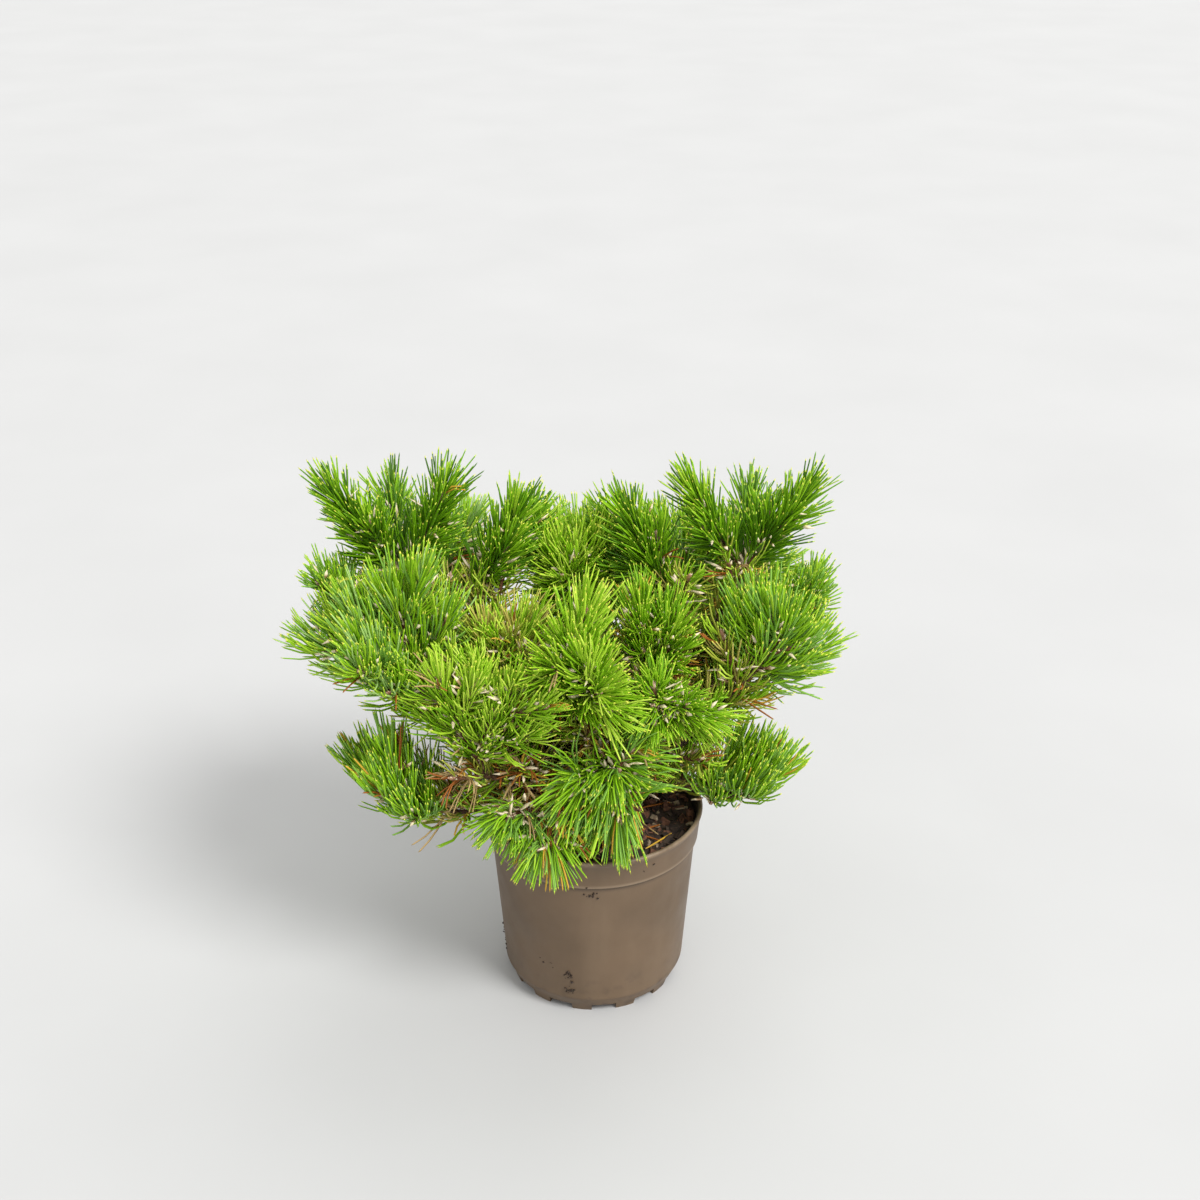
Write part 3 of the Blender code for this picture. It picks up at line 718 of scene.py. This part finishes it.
def side_lines(branch, line, rng):
    """Short side shoots off a shoot, alternately to either side, and upwards where its needles are."""
    foxtail = branch.name in FOXTAILS
    places = FILL_PLACES if foxtail else SWEPT_PLACES if branch.lift == SWEPT_LIFT else SIDE_PLACES
    turn = rng.uniform(0, math.tau)
    lines = []
    for place in places:
        root, axis = along_line(line, place)
        lean = (FILL_SPREAD if foxtail else SIDE_SPREAD) * rng.uniform(*SIDE_LEANS)
        way = leaning(axis, lean, turn)
        if rng.random() < branch.lift:
            way.z = abs(way.z)
        lines.append(curled(root, way, line_length(line) * SIDE_LENGTH * rng.uniform(*SIDE_REACHES)))
        turn += math.pi
    return lines


def old_lines(bough, places, rng):
    """Old twigs that stand off a bough, to every side and upwards."""
    turn = rng.uniform(0, math.tau)
    lines = []
    for place in places:
        root, axis = along_line(bough, place)
        way = (leaning(axis, OLD_SPREAD, turn) + UP * rng.uniform(*OLD_RISES)).normalized()
        lines.append(curled(root, way, rng.uniform(*OLD_LENGTHS)))
        turn += GOLDEN_TURN
    return lines


class Room:
    """How much free space a point has beside the bare limbs and the pot."""

    def __init__(self, limbs):
        places = [(point, radius) for points, radii in limbs for point, radius in zip(points, radii)]
        self.radii = [radius for _, radius in places]
        self.tree = KDTree(len(places))
        for index, (point, _) in enumerate(places):
            self.tree.insert(point, index)
        self.tree.balance()

    def beside_limbs(self, point):
        _, index, distance = self.tree.find(point)
        return distance - self.radii[index]

    def beside_pot(self, point):
        """Above the lip and the soil, or outside the wall."""
        radius = math.hypot(point.x, point.y)
        inside = min(point.z - SOIL_TOP, COLLAR_FOOT - 2 * LIP_RADIUS - radius)
        outside = radius - COLLAR_TOP - LIP_RADIUS
        return max(point.z - POT_HEIGHT, inside, outside)

    def over_open_soil(self, point):
        """Whether the point is in front of the soil that lies open."""
        deep = point.y + OPEN_SLANT * (point.z - SOIL_TOP)
        return OPEN_ACROSS[0] < point.x < OPEN_ACROSS[1] and OPEN_DEEP[0] < deep < OPEN_DEEP[1]

    def clears(self, points):
        clear = NEEDLE_RADIUS + GAP
        if any(self.over_open_soil(point) for point in points):
            return False
        return all(self.beside_pot(point) > clear and self.beside_limbs(point) > clear for point in points)


# Limbs and twigs

def swept(line, radii, spacing, sides, relief):
    """A tube along a line, its corners moved out by the relief: points, quads and end triangles."""
    line, radii = resampled(line, radii, spacing)
    points = []
    ahead = [(after - before).normalized() for before, after in zip([line[0], *line], [*line[1:], line[-1]])]
    side = ahead[0].orthogonal().normalized()
    for middle, radius, way in zip(line, radii, ahead):
        side = (side - way * side.dot(way)).normalized()
        over = way.cross(side)
        for step in range(sides):
            turn = math.tau * step / sides
            outward = side * math.cos(turn) + over * math.sin(turn)
            corner = middle + outward * radius
            points.append(corner + outward * relief(corner, radius))
    points += [line[0], line[-1] + ahead[-1] * radii[-1] * END_CAP]
    return points, *tube_faces(len(line), sides)


def resampled(line, radii, spacing):
    """The line and its radii at an even spacing, with a rounded end."""
    total = line_length(line)
    count = max(3, round(total / spacing))
    travelled = np.cumsum([0.0] + [(b - a).length for a, b in zip(line, line[1:])])
    places = np.linspace(0.0, total, count + 1)
    points = [Vector(point) for point in zip(*(np.interp(places, travelled, axis) for axis in zip(*line)))]
    widths = list(np.interp(places, travelled, radii))
    way = (points[-1] - points[-2]).normalized()
    tip, width = points[-1], widths[-1]
    for turn in (math.radians(30), math.radians(60)):
        points.append(tip + way * (width * math.sin(turn)))
        widths.append(width * math.cos(turn))
    return points, widths


def plated(corner, radius):
    """Bark plates with rifts between them, taller than wide."""
    place = Vector((corner.x, corner.y, corner.z * BARK_STRETCH)) * BARK_PLATES
    near, second = noise.voronoi(place)[0][:2]
    rift = min(1.0, (second - near) * RIFT_SLOPE) - 1.0
    return radius * (BARK_DEPTH * rift + GRAIN_DEPTH * noise.fractal(corner * GRAIN_SIZE, 1.0, 2.0, 4))


def scarred(corner, radius):
    """The pegs that fallen needles leave on a twig."""
    fine = noise.noise(corner * SCAR_SIZE * 2.3)
    return radius * SCAR_DEPTH * (noise.noise(corner * SCAR_SIZE) + 0.5 * fine)


def make_limbs(trunk, limbs, finishes):
    """The trunk and its boughs, one mesh with the bark's relief. A limb's leafy end has its own bark."""
    heap = Heap()
    kinds = [(trunk, TRUNK_SIDES, TRUNK_RINGS, 1.0)]
    kinds += [(limb, LIMB_SIDES, LIMB_RINGS, BARE_SHARE) for limb in limbs]
    for (line, radii), sides, spacing, bare in kinds:
        points, quads, ends = swept(line, radii, spacing, sides, plated)
        heap.add_closed(points, quads, ends, (np.arange(len(quads)) >= len(quads) * bare).astype(int))
    heap.piece("bark_limbs", "bark", finishes, "trunk", *[f"bough_{branch.name}" for branch in BRANCHES])


def make_twigs(shoots, finish):
    """The shoots and side shoots under the needles."""
    heap = Heap()
    for line in shoots:
        radii = np.linspace(SHOOT_BASE, SHOOT_TIP, len(line))
        heap.add_closed(*swept(line, radii, TWIG_RINGS, TWIG_SIDES, scarred))
    heap.piece("twigs", "bark", [finish])


# Needles, their sheaths and other slender things

class Strands:
    """Slender curved things of one kind, kept as lists until they become a mesh."""

    def __init__(self, rings, sides=NEEDLE_SIDES, tapers=True):
        self.rings = np.array(rings)
        self.sides = sides
        self.tapers = tapers
        self.rows = []
        self.finishes = []

    def add(self, root, start, end, across, length, radius, body, tip=0):
        """One that leaves root along start and ends along end. across is any direction off it."""
        self.rows.append((*root, *start, *end, *across, length, radius))
        self.finishes.append((body, tip))

    def triangles(self):
        each = (len(self.rings) - 1) * 2 * self.sides + (self.sides if self.tapers else 0)
        return each * len(self.rows)

    def into(self, heap):
        """Work out every strand at once."""
        rows = np.array(self.rows)
        finishes = np.array(self.finishes)
        root, start, end, across = (rows[:, None, 3 * part : 3 * part + 3] for part in range(4))
        length, radius = rows[:, None, 12:13], rows[:, None, 13:14]
        shares = self.rings[None, :, :1]
        bend = root + start * length / 2
        tip = bend + end * length / 2
        middle = (1 - shares) ** 2 * root + 2 * shares * (1 - shares) * bend + shares**2 * tip
        way = (1 - shares) * (bend - root) + shares * (tip - bend)
        way /= np.linalg.norm(way, axis=-1, keepdims=True)
        side = across - way * np.sum(across * way, -1, keepdims=True)
        side /= np.linalg.norm(side, axis=-1, keepdims=True)
        over = np.cross(way, side)
        turns = (math.tau * np.arange(self.sides) / self.sides)[None, None, :, None]
        outward = side[:, :, None] * np.cos(turns) + over[:, :, None] * np.sin(turns)
        reach = radius[..., None] * self.rings[None, :, 1, None, None]
        rings = (middle[:, :, None] + outward * reach).reshape(len(rows), -1, 3)
        points = np.concatenate([rings, tip], 1) if self.tapers else rings
        each = points.shape[1]
        starts = (np.arange(len(rows)) * each)[:, None, None]
        quads = starts + tube_quads(len(self.rings), self.sides)
        heap.add(points, quads.reshape(-1, 4), np.repeat(finishes[:, 0], quads.shape[1]))
        if self.tapers:
            tip_place = len(self.rings) * self.sides
            cones = starts + fan(tip_place, tip_place - self.sides, self.sides)[:, [1, 2, 0]]
            heap.add([], cones.reshape(-1, 3) - len(points) * each, np.repeat(finishes[:, 1], self.sides))


def make_strands(name, slot, finishes, kinds, *nodes):
    """Join kinds of strands into one piece."""
    heap = Heap()
    for strands in kinds:
        strands.into(heap)
    heap.piece(name, slot, finishes, *nodes)


class Foliage:
    """The needles, live and dead, and the sheaths that they stand in."""

    def __init__(self, room):
        self.room = room
        self.needles = {}
        self.sheaths = Strands(SHEATH_RINGS, tapers=False)
        self.dead = Strands(NEEDLE_RINGS)

    def clad(self, branch, line, cladding, rng):
        """Stand pairs of needles on a line, in a golden spiral that closes to its tip."""
        live = self.needles.setdefault(branch.name, Strands(NEEDLE_RINGS))
        palette = INNER if cladding in (OLD, STEM) else PALETTES.get(branch.name, SIDES)
        count = round(cladding.pairs_a_metre * line_length(line))
        phase = rng.uniform(0, math.tau)
        dead_share = cladding.dead * DEAD_SHARES.get(branch.name, DEAD_SHARE) * rng.choice(DEAD_SPREAD)
        girth = NEEDLE_RADIUS * (1 + branch.needles) / 2
        for index in range(count):
            share = NEEDLE_FIRST + (1 - NEEDLE_FIRST) * (index + 0.5) / count
            root, axis = along_line(line, share)
            outward = beside(axis, phase + index * GOLDEN_TURN + rng.uniform(-0.5, 0.5))
            lean = blend(cladding.leans, share) + rng.uniform(-LEAN_JITTER, LEAN_JITTER)
            if rng.random() < cladding.turned * abs(branch.lift):
                outward.z = math.copysign(outward.z, branch.lift)
            way = (axis * math.cos(lean) + outward * math.sin(lean)).normalized()
            length = NEEDLE_LENGTH * branch.needles * blend(cladding.sizes, share**2) * rng.uniform(*LENGTHS)
            fallen = rng.random() < dead_share
            lift = branch.lift * NEEDLE_LIFT * rng.uniform(*LIFTS) - (DEAD_DROOP if fallen else 0.0)
            shade = min(0.999, (1 - LIT_SHARE) * rng.random() + LIT_SHARE * share)
            green = list(GREENS).index(palette[int(shade * len(palette))])
            body = tip = rng.randrange(len(DEAD)) if fallen else green
            if not fallen and rng.random() < TIP_SHARE:
                tip = len(GREENS) + rng.randrange(len(TIPS))
            strands = self.dead if fallen else live
            size, finishes = (length, girth), (body, tip)
            self.pair(strands, root, way, axis, outward, size, lift, cladding.curve, finishes, rng)

    def pair(self, strands, root, way, axis, outward, size, lift, curve, finishes, rng):
        """Two needles that part out of one sheath, with a length and girth, and finishes for body and tip."""
        length, girth = size
        apart = outward.cross(axis) if rng.random() < 0.5 else outward
        apart = (apart - way * apart.dot(way)).normalized()
        bow = axis * (NEEDLE_BOW * curve * rng.uniform(*BOWS))
        bow += way.cross(axis).normalized() * (curve * rng.uniform(-SWAY, SWAY))
        start = (way - bow).normalized()
        stands = False
        for turn in (-1, 1):
            first = (start + apart * (turn * PAIR_SPREAD[0])).normalized()
            last = way + bow + UP * (2 * lift) + apart * (turn * PAIR_SPREAD[1])
            bend = root + first * length / 2
            for rest in RESTING_LIFTS:
                end = (last + UP * rest).normalized()
                tip = bend + end * length / 2
                if self.room.clears([curve_point(root, bend, tip, share) for share in ROOM_SHARES]):
                    strands.add(root, first, end, apart, length, girth * rng.uniform(*GIRTHS), *finishes)
                    stands = True
                    break
        if stands and curve < OLD.curve:
            self.sheaths.add(root, start, start, apart, SHEATH_LENGTH, SHEATH_RADIUS, 0)

    def pieces(self, needle_finishes, dead_finishes, sheath_finish):
        """Join each kind into pieces under the limit of triangles."""
        groups = [{}]
        for name, strands in self.needles.items():
            if sum(kind.triangles() for kind in (*groups[-1].values(), strands)) > PIECE_LIMIT:
                groups.append({})
            groups[-1][f"foliage_{name}"] = strands
        for number, group in enumerate(groups, 1):
            make_strands(f"needles_{number}", "needles", needle_finishes, group.values(), *group)
        make_strands("sheaths", "bark", [sheath_finish], [self.sheaths])
        make_strands("dead_needles", "needles", dead_finishes, [self.dead])


def make_buds(shoots, bud_finishes, scale_finishes):
    """A bud at each shoot's tip with smaller ones beside it, and the papery scales of old buds and flakes."""
    rng = random.Random(SEED + 500)
    buds = Strands(BUD_OUTLINE, BUD_SIDES)
    scales = Strands(SCALE_RINGS)
    for line in shoots:
        tip, axis = along_line(line, 1.0)
        across = axis.orthogonal().normalized()
        sizes = (rng.uniform(*BUD_SIZES), SIDE_BUD_SIZE)
        large, small = ((BUD_LENGTH * size, BUD_RADIUS * size) for size in sizes)
        buds.add(tip - axis * BUD_SINK, axis, axis, across, *large, rng.randrange(2), 1)
        for index in range(SIDE_BUDS if line_length(line) > SHORT_SHOOT else 1):
            out = beside(axis, math.pi / 2 - index * SIDE_BUD_TURN)
            out = (axis * SIDE_BUD_LEAN[0] + out * SIDE_BUD_LEAN[1]).normalized()
            buds.add(tip - axis * BUD_SINK * 2, out, axis, across, *small, rng.randrange(2), 0)
        for place in SCALE_PLACES:
            root, axis = along_line(line, place)
            for index in range(SCALES_A_KNOT):
                outward = beside(axis, index * GOLDEN_TURN)
                outward.z = abs(outward.z)
                start = (outward * 0.8 + axis * 0.7).normalized()
                end = (axis + outward * rng.uniform(-0.2, 0.7)).normalized()
                spot = root + axis * rng.uniform(-SCALE_SHIFT, SCALE_SHIFT)
                size = (rng.uniform(*SCALE_LENGTHS), rng.uniform(*SCALE_RADII))
                scales.add(spot, start, end, axis.cross(outward), *size, rng.randrange(2))
        for _ in range(round(FLAKES_A_METRE * line_length(line))):
            root, axis = along_line(line, rng.uniform(0.0, 0.95))
            outward = leaning(axis, math.radians(rng.uniform(*FLAKE_SPREADS)), rng.uniform(0, math.tau))
            outward.z = abs(outward.z)
            root = root + outward * rng.uniform(0.0, FLAKE_REACH)
            end = (outward + axis * rng.uniform(-0.3, 1.0)).normalized()
            size = (rng.uniform(*FLAKE_LENGTHS), rng.uniform(*FLAKE_RADII))
            scales.add(root, outward, end, axis.cross(outward), *size, int(rng.random() < BROWN_FLAKES))
    make_strands("buds", "bark", bud_finishes, [buds])
    make_strands("papery_scales", "bark", scale_finishes, [scales])


# The pot

def arc(centre, radius, start, end, count):
    """Points on a circle in the profile's plane, from one angle in degrees to another."""
    angles = [math.radians(start + (end - start) * step / (count - 1)) for step in range(count)]
    return [(centre[0] + radius * math.cos(angle), centre[1] + radius * math.sin(angle)) for angle in angles]


def inner_wall():
    """The pot's inner side as (radius, height), from the floor up to the lip."""
    return [
        (BASE_RADIUS - 2 * WALL, FOOT_HEIGHT + WALL),
        (BASE_RADIUS, FOOT_HEIGHT + 2 * WALL),
        (BODY_FOOT - WALL, BODY_FOOT_HEIGHT),
        (COLLAR_FOOT - COLLAR_STEP - WALL, LEDGE - WALL),
        (COLLAR_FOOT - WALL, LEDGE + WALL),
        (INNER_RADIUS, POT_HEIGHT - LIP_DROP),
    ]


def outer_wall():
    """The pot's outer side as (radius, height), from the lip down to the foot ring."""
    return [
        *arc((LIP_MIDDLE, POT_HEIGHT - LIP_RADIUS), LIP_RADIUS, 180, -40, 14),
        (COLLAR_TOP, POT_HEIGHT - LIP_DROP),
        (COLLAR_FOOT, LEDGE + COLLAR_STEP / 2),
        *arc((COLLAR_FOOT - COLLAR_STEP / 2, LEDGE), COLLAR_STEP / 2, 0, -90, 4),
        (COLLAR_FOOT - COLLAR_STEP, LEDGE - COLLAR_STEP),
        *arc((BODY_FOOT - BODY_ROUND, BODY_FOOT_HEIGHT), BODY_ROUND, 8, -30, 5),
        (BASE_RADIUS + BASE_ROUND, FOOT_HEIGHT),
    ]


def subdivided(profile, longest):
    """The profile with points added so that no stretch is longer than longest."""
    points = [profile[0]]
    for first, second in zip(profile, profile[1:]):
        count = max(1, math.ceil(math.dist(first, second) / longest))
        for step in range(1, count + 1):
            share = step / count
            points.append(tuple(a + (b - a) * share for a, b in zip(first, second)))
    return points


def revolved(profile, moved):
    """A closed solid of revolution from a profile that starts and ends on the axis, as a tube's parts."""
    points = []
    for radius, height in profile[1:-1]:
        for step in range(POT_STEPS):
            turn = math.tau * step / POT_STEPS
            points.append(moved(Vector((radius * math.cos(turn), radius * math.sin(turn), height))))
    points += [moved(Vector((0.0, 0.0, height))) for _, height in (profile[0], profile[-1])]
    quads, ends = tube_faces(len(profile) - 2, POT_STEPS)
    return points, quads[:, [0, 3, 2, 1]], ends[:, [0, 2, 1]]


def pot_cutter():
    """Boxes for the notches between the feet and cylinders for the drains, as one mesh."""
    mesh = bpy.data.meshes.new("pot_cutter")
    shape = bmesh.new()
    pitch = math.tau / FEET
    notch = (NOTCH_DEPTH, BASE_RADIUS * pitch - FOOT_WIDTH, 2 * NOTCH_HEIGHT)
    for index in range(FEET):
        box = bmesh.ops.create_cube(shape, size=1.0)["verts"]
        bmesh.ops.scale(shape, vec=notch, verts=box)
        place_cutter(shape, box, BASE_RADIUS, FIRST_FOOT + (index + 0.5) * pitch)
    sizes = {"radius1": DRAIN_RADIUS, "radius2": DRAIN_RADIUS, "depth": 4 * FOOT_HEIGHT}
    for index in range(DRAINS):
        drain = bmesh.ops.create_cone(shape, cap_ends=True, segments=DRAIN_SIDES, **sizes)["verts"]
        place_cutter(shape, drain, DRAIN_CIRCLE, FIRST_FOOT + (index + 0.25) * math.tau / DRAINS)
    shape.to_mesh(mesh)
    shape.free()
    return mesh


def place_cutter(shape, verts, reach, turn):
    """Move part of a cutter out from the axis to its reach and turn it about the axis."""
    place = Matrix.Rotation(turn, 4, "Z") @ Matrix.Translation((reach, 0.0, 0.0))
    bmesh.ops.transform(shape, matrix=place, verts=verts)


def uneven(point):
    """A point of the pot, moved a little on its wall as thin moulded plastic is."""
    outward = Vector((point.x, point.y, 0.0))
    if point.z < BODY_FOOT_HEIGHT or outward.length < BASE_RADIUS:
        return point
    return point + outward.normalized() * (WAVE_DEPTH * noise.noise(point * WAVE_SIZE))


def is_inside(middles):
    """Whether each face's middle is on the pot's inner side, above its floor."""
    heights = (FOOT_HEIGHT, BODY_FOOT_HEIGHT, LEDGE - COLLAR_STEP, LEDGE, POT_HEIGHT)
    wall = (BASE_RADIUS, BODY_FOOT, COLLAR_FOOT - COLLAR_STEP, COLLAR_FOOT, LIP_MIDDLE)
    radii = np.hypot(middles[:, 0], middles[:, 1])
    within = radii < np.interp(middles[:, 2], heights, wall) - WALL / 2
    return within & (middles[:, 2] > FOOT_HEIGHT + WALL / 2)


def make_pot(outside, inside):
    """The nursery pot, with the notches and drains cut out of it."""
    underside = [
        (BASE_RADIUS, 0.0),
        (FOOT_INNER, 0.0),
        (FOOT_INNER - FOOT_DRAFT, FOOT_HEIGHT),
        (HUB_RADIUS + FOOT_DRAFT, FOOT_HEIGHT),
        (HUB_RADIUS, 0.0),
        (0.0, 0.0),
    ]
    profile = subdivided([(0.0, FOOT_HEIGHT + WALL), *inner_wall(), *outer_wall(), *underside], RING_GAP)
    points, quads, ends = revolved(profile, uneven)
    middles = np.array([list(point) for point in points])[quads].mean(1)
    heap = Heap()
    heap.add_closed(points, quads, ends, is_inside(middles).astype(int))
    pot = heap.piece("pot_shell", "pot", [outside, inside], "pot")
    cutter = placed("pot_cutter", pot_cutter())
    cut = pot.modifiers.new("Notches", "BOOLEAN")
    cut.operation = "DIFFERENCE"
    cut.object = cutter
    cut.solver = "EXACT"
    bpy.context.view_layer.update()
    graph = bpy.context.evaluated_depsgraph_get()
    cut_mesh = bpy.data.meshes.new_from_object(pot.evaluated_get(graph))
    pot.modifiers.clear()
    pot.data = cut_mesh
    cut_mesh.name = "pot_shell"
    cut_mesh.shade_smooth()
    cut_mesh.set_sharp_from_angle(angle=SHARP_EDGE)
    bpy.data.objects.remove(cutter, do_unlink=True)


# The soil and what lies on it

def soil_height(x, y):
    """The soil's relief under a point."""
    fall = SOIL_FALL * max(0.0, (math.hypot(x, y) - SOIL_FLAT) / (INNER_RADIUS - SOIL_FLAT)) ** 1.5
    place = Vector((x, y, 0.0))
    lumps = noise.fractal(place * LUMP_SIZE, 1.0, 2.0, 5) * CRUMB_HEIGHT
    pits = noise.noise(place * PIT_SIZE) * CRUMB_HEIGHT * 0.7
    return SOIL_TOP - fall + min(LUMP_LIMIT, lumps + pits)


def crumbly(point):
    """A point of the soil bed, at the relief's height if it is on top."""
    return Vector((point.x, point.y, soil_height(point.x, point.y))) if point.z > SOIL_TOP - GAP else point


def make_soil(finish):
    """The filled inside of the pot, with a crumbly top."""
    floor = FOOT_HEIGHT + WALL + GAP
    side = [(radius - GAP, height) for radius, height in inner_wall() if height < SOIL_TOP - SOIL_FALL]
    side[0] = (side[0][0], floor)
    top = [(side[-1][0] * step / SOIL_ROWS, SOIL_TOP) for step in range(SOIL_ROWS + 1)]
    heap = Heap()
    heap.add_closed(*revolved([*top, *reversed(side[:-1]), (0.0, floor)], crumbly))
    heap.piece("soil_bed", "soil", [finish], "potting_soil")


def soil_place(margin, rng):
    """A random place on the soil, a margin or more from the wall."""
    radius = (INNER_RADIUS - margin) * math.sqrt(rng.random())
    turn = rng.uniform(0, math.tau)
    return radius * math.cos(turn), radius * math.sin(turn)


def flake(rng, size, flatness):
    """A rough chip round the origin, turned at random and mostly flat."""
    corners = BOX_CORNERS * (size, size * rng.uniform(*CHIP_WIDTHS), size * flatness)
    parts = (1, 0.8, flatness)
    corners += [[rng.uniform(-CHIP_UNEVEN, CHIP_UNEVEN) * size * part for part in parts] for _ in corners]
    turn = rng.uniform(0, math.tau)
    upright = Vector((rng.gauss(0, CHIP_TILT), rng.gauss(0, CHIP_TILT), 1.0)).normalized()
    tilt = UP.rotation_difference(upright).to_matrix()
    spin = np.array([[math.cos(turn), -math.sin(turn), 0], [math.sin(turn), math.cos(turn), 0], [0, 0, 1]])
    return corners @ spin.T @ np.array(tilt).T


def make_chips(finishes):
    """Bark chips and crumbs over the soil, paler litter towards the back."""
    rng = random.Random(SEED + 700)
    heap = Heap()
    for _ in range(CHIPS):
        x, y = soil_place(CHIP_MARGIN, rng)
        if math.hypot(x - PLANT_PLACE.x, y) < TRUNK_FLARE:
            continue
        size = CHIP_SIZES[0] + CHIP_SIZES[1] * rng.random() ** 2.5
        kind = rng.choices((0, 1, 2), (5, 5, 0.5 + 1.5 * (y > 0.01)))[0]
        corners = flake(rng, size, rng.uniform(*CHIP_HEIGHTS))
        heap.add(corners + (x, y, soil_height(x, y) + size * CHIP_LIFT), BOX_FACES, kind)
    heap.piece("soil_chips", "soil", finishes, smooth=False)


def make_fallen(finishes):
    """Brown needles that lie on the soil."""
    rng = random.Random(SEED + 800)
    strands = Strands(NEEDLE_RINGS)
    while len(strands.rows) < FALLEN:
        root = Vector((*soil_place(FALLEN_MARGIN, rng), 0.0))
        root.z = soil_height(root.x, root.y) + FALLEN_CLEAR
        heading = rng.uniform(0, 360)
        length = rng.uniform(*FALLEN_LENGTHS)
        start = polar(heading, rng.uniform(-2, 6))
        end = polar(heading + rng.uniform(-25, 25), rng.uniform(-6, 2))
        tip = root + (start + end) * (length / 2)
        nearest = min((place - PLANT_PLACE).xy.length for place in (root, tip))
        if tip.xy.length <= INNER_RADIUS - FALLEN_MARGIN and nearest >= TRUNK_FLARE:
            strands.add(root, start, end, UP, length, NEEDLE_RADIUS, rng.randrange(3), 2)
    make_strands("fallen_needles", "soil", finishes, [strands])


def outer_radius(height):
    """The pot's outer radius at a height on its wall."""
    heights, radii = zip(*sorted((z, radius) for radius, z in outer_wall()))
    return float(np.interp(height, heights, radii))


def make_splashes(finish):
    """Crumbs of dried soil that cling to the pot."""
    rng = random.Random(SEED + 900)
    heap = Heap()
    for azimuth, middle, crumbs, spread in SPLASHES:
        for _ in range(crumbs):
            height = max(FOOT_HEIGHT, middle + rng.gauss(0, spread * 0.6))
            radius = outer_radius(height)
            turn = math.radians(azimuth) + rng.gauss(0, spread * 0.5) / radius
            corners = flake(rng, SPLASH_SIZES[0] + SPLASH_SIZES[1] * rng.random() ** 2, SPLASH_FLATNESS)
            heap.add(corners + (radius * math.cos(turn), radius * math.sin(turn), height), BOX_FACES)
    heap.piece("soil_crumbs", "pot", [finish])


# The studio

def make_floor():
    """The plain pale floor."""
    mesh = bpy.data.meshes.new("floor")
    shape = bmesh.new()
    bmesh.ops.create_grid(shape, x_segments=2, y_segments=2, size=FLOOR_SIZE / 2)
    shape.to_mesh(mesh)
    shape.free()
    nodes = Nodes("pale_floor", 0.6)
    nodes.colour(nodes.ramp(nodes.noise(3), (0.3, FLOOR_GREYS[0]), (0.7, FLOOR_GREYS[1])))
    mesh.materials.append(nodes.material)
    placed("floor", mesh)


def soft_light(name, azimuth, rise, softness, power):
    """A far soft light, so that the floor is lit evenly."""
    light = bpy.data.lights.new(name, "SUN")
    light.angle = math.radians(softness)
    light.energy = power
    lamp = placed(name, light)
    lamp.location = polar(azimuth, rise) * 3
    lamp.rotation_euler = (-lamp.location).to_track_quat("-Z", "Y").to_euler()


def make_studio():
    """The floor, the lights and the camera at the photo's angle."""
    make_floor()
    for light in LIGHTS:
        soft_light(*light)
    world = bpy.data.worlds.new("studio")
    world.use_nodes = True
    sky = world.node_tree.nodes["Background"]
    sky.inputs["Color"].default_value = (1.0, 1.0, 1.0, 1.0)
    sky.inputs["Strength"].default_value = SKY
    bpy.context.scene.world = world
    bpy.context.scene.view_settings.view_transform = "Standard"
    lens = bpy.data.cameras.new("camera")
    lens.lens = CAMERA_LENS
    camera = placed("camera", lens)
    camera.location = CAMERA_PLACE
    camera.rotation_euler = (math.pi / 2 - CAMERA_DOWN, 0.0, 0.0)
    bpy.context.scene.camera = camera


def make_plant():
    """Trunk, boughs, shoots, needles and buds."""
    bark, stem, twig = (bark_finish(*finish) for finish in BARKS)
    trunk = trunk_line()
    limbs = [limb_line(branch) for branch in BRANCHES]
    make_limbs(trunk, limbs, [bark, stem])
    bare = int(LIMB_STEPS * BARE_SHARE)
    room = Room([trunk, *[(points[:bare], radii[:bare]) for points, radii in limbs]])
    foliage = Foliage(room)
    shoots = []
    for index, (branch, (points, _)) in enumerate(zip(BRANCHES, limbs)):
        rng = random.Random(SEED + index)
        arms = shoot_lines(branch, points[-1], rng)
        sides = [line for arm in arms for line in side_lines(branch, arm, rng) if room.clears(line)]
        old = old_lines(points[:bare], OLD_PLACES, rng) + old_lines(points[bare:], STEM_PLACES, rng)
        old = [line for line in old if room.clears(line[2:])]
        young = FOXTAIL if branch.name in FOXTAILS else SHOOT
        for lines, cladding in (([points[bare:]], STEM), (arms, young), (sides, SIDE), (old, OLD)):
            for line in lines:
                foliage.clad(branch, line, cladding, rng)
        shoots += arms + sides + old
    make_twigs(shoots, twig)
    greens = leaf_finishes("needle", GREENS | TIPS, 0.42)
    browns = leaf_finishes("needle", DEAD, 0.55)
    foliage.pieces(greens, browns, leaf_finish("needle_sheath", SHEATH_BROWN, 0.6))
    seen = [line for line in shoots if not room.over_open_soil(line[-1] + polar(0, 0) * BARE_MARGIN)]
    make_buds(seen, leaf_finishes("bud", BUD_COLOURS, 0.5), leaf_finishes("scale", SCALE_COLOURS, 0.7))
    return browns


def make_potting(browns):
    """The pot, its soil and the litter on it."""
    make_pot(pot_plastic(), pot_inside_plastic())
    soils = [soil_finish(*finish) for finish in SOILS]
    make_soil(soils[0])
    make_chips(soils)
    make_fallen(browns)
    make_splashes(soils[0])


def corners(box):
    """A box's two corners as plain lists of numbers."""
    return [list(corner) for corner in box]


make_potting(make_plant())
make_studio()
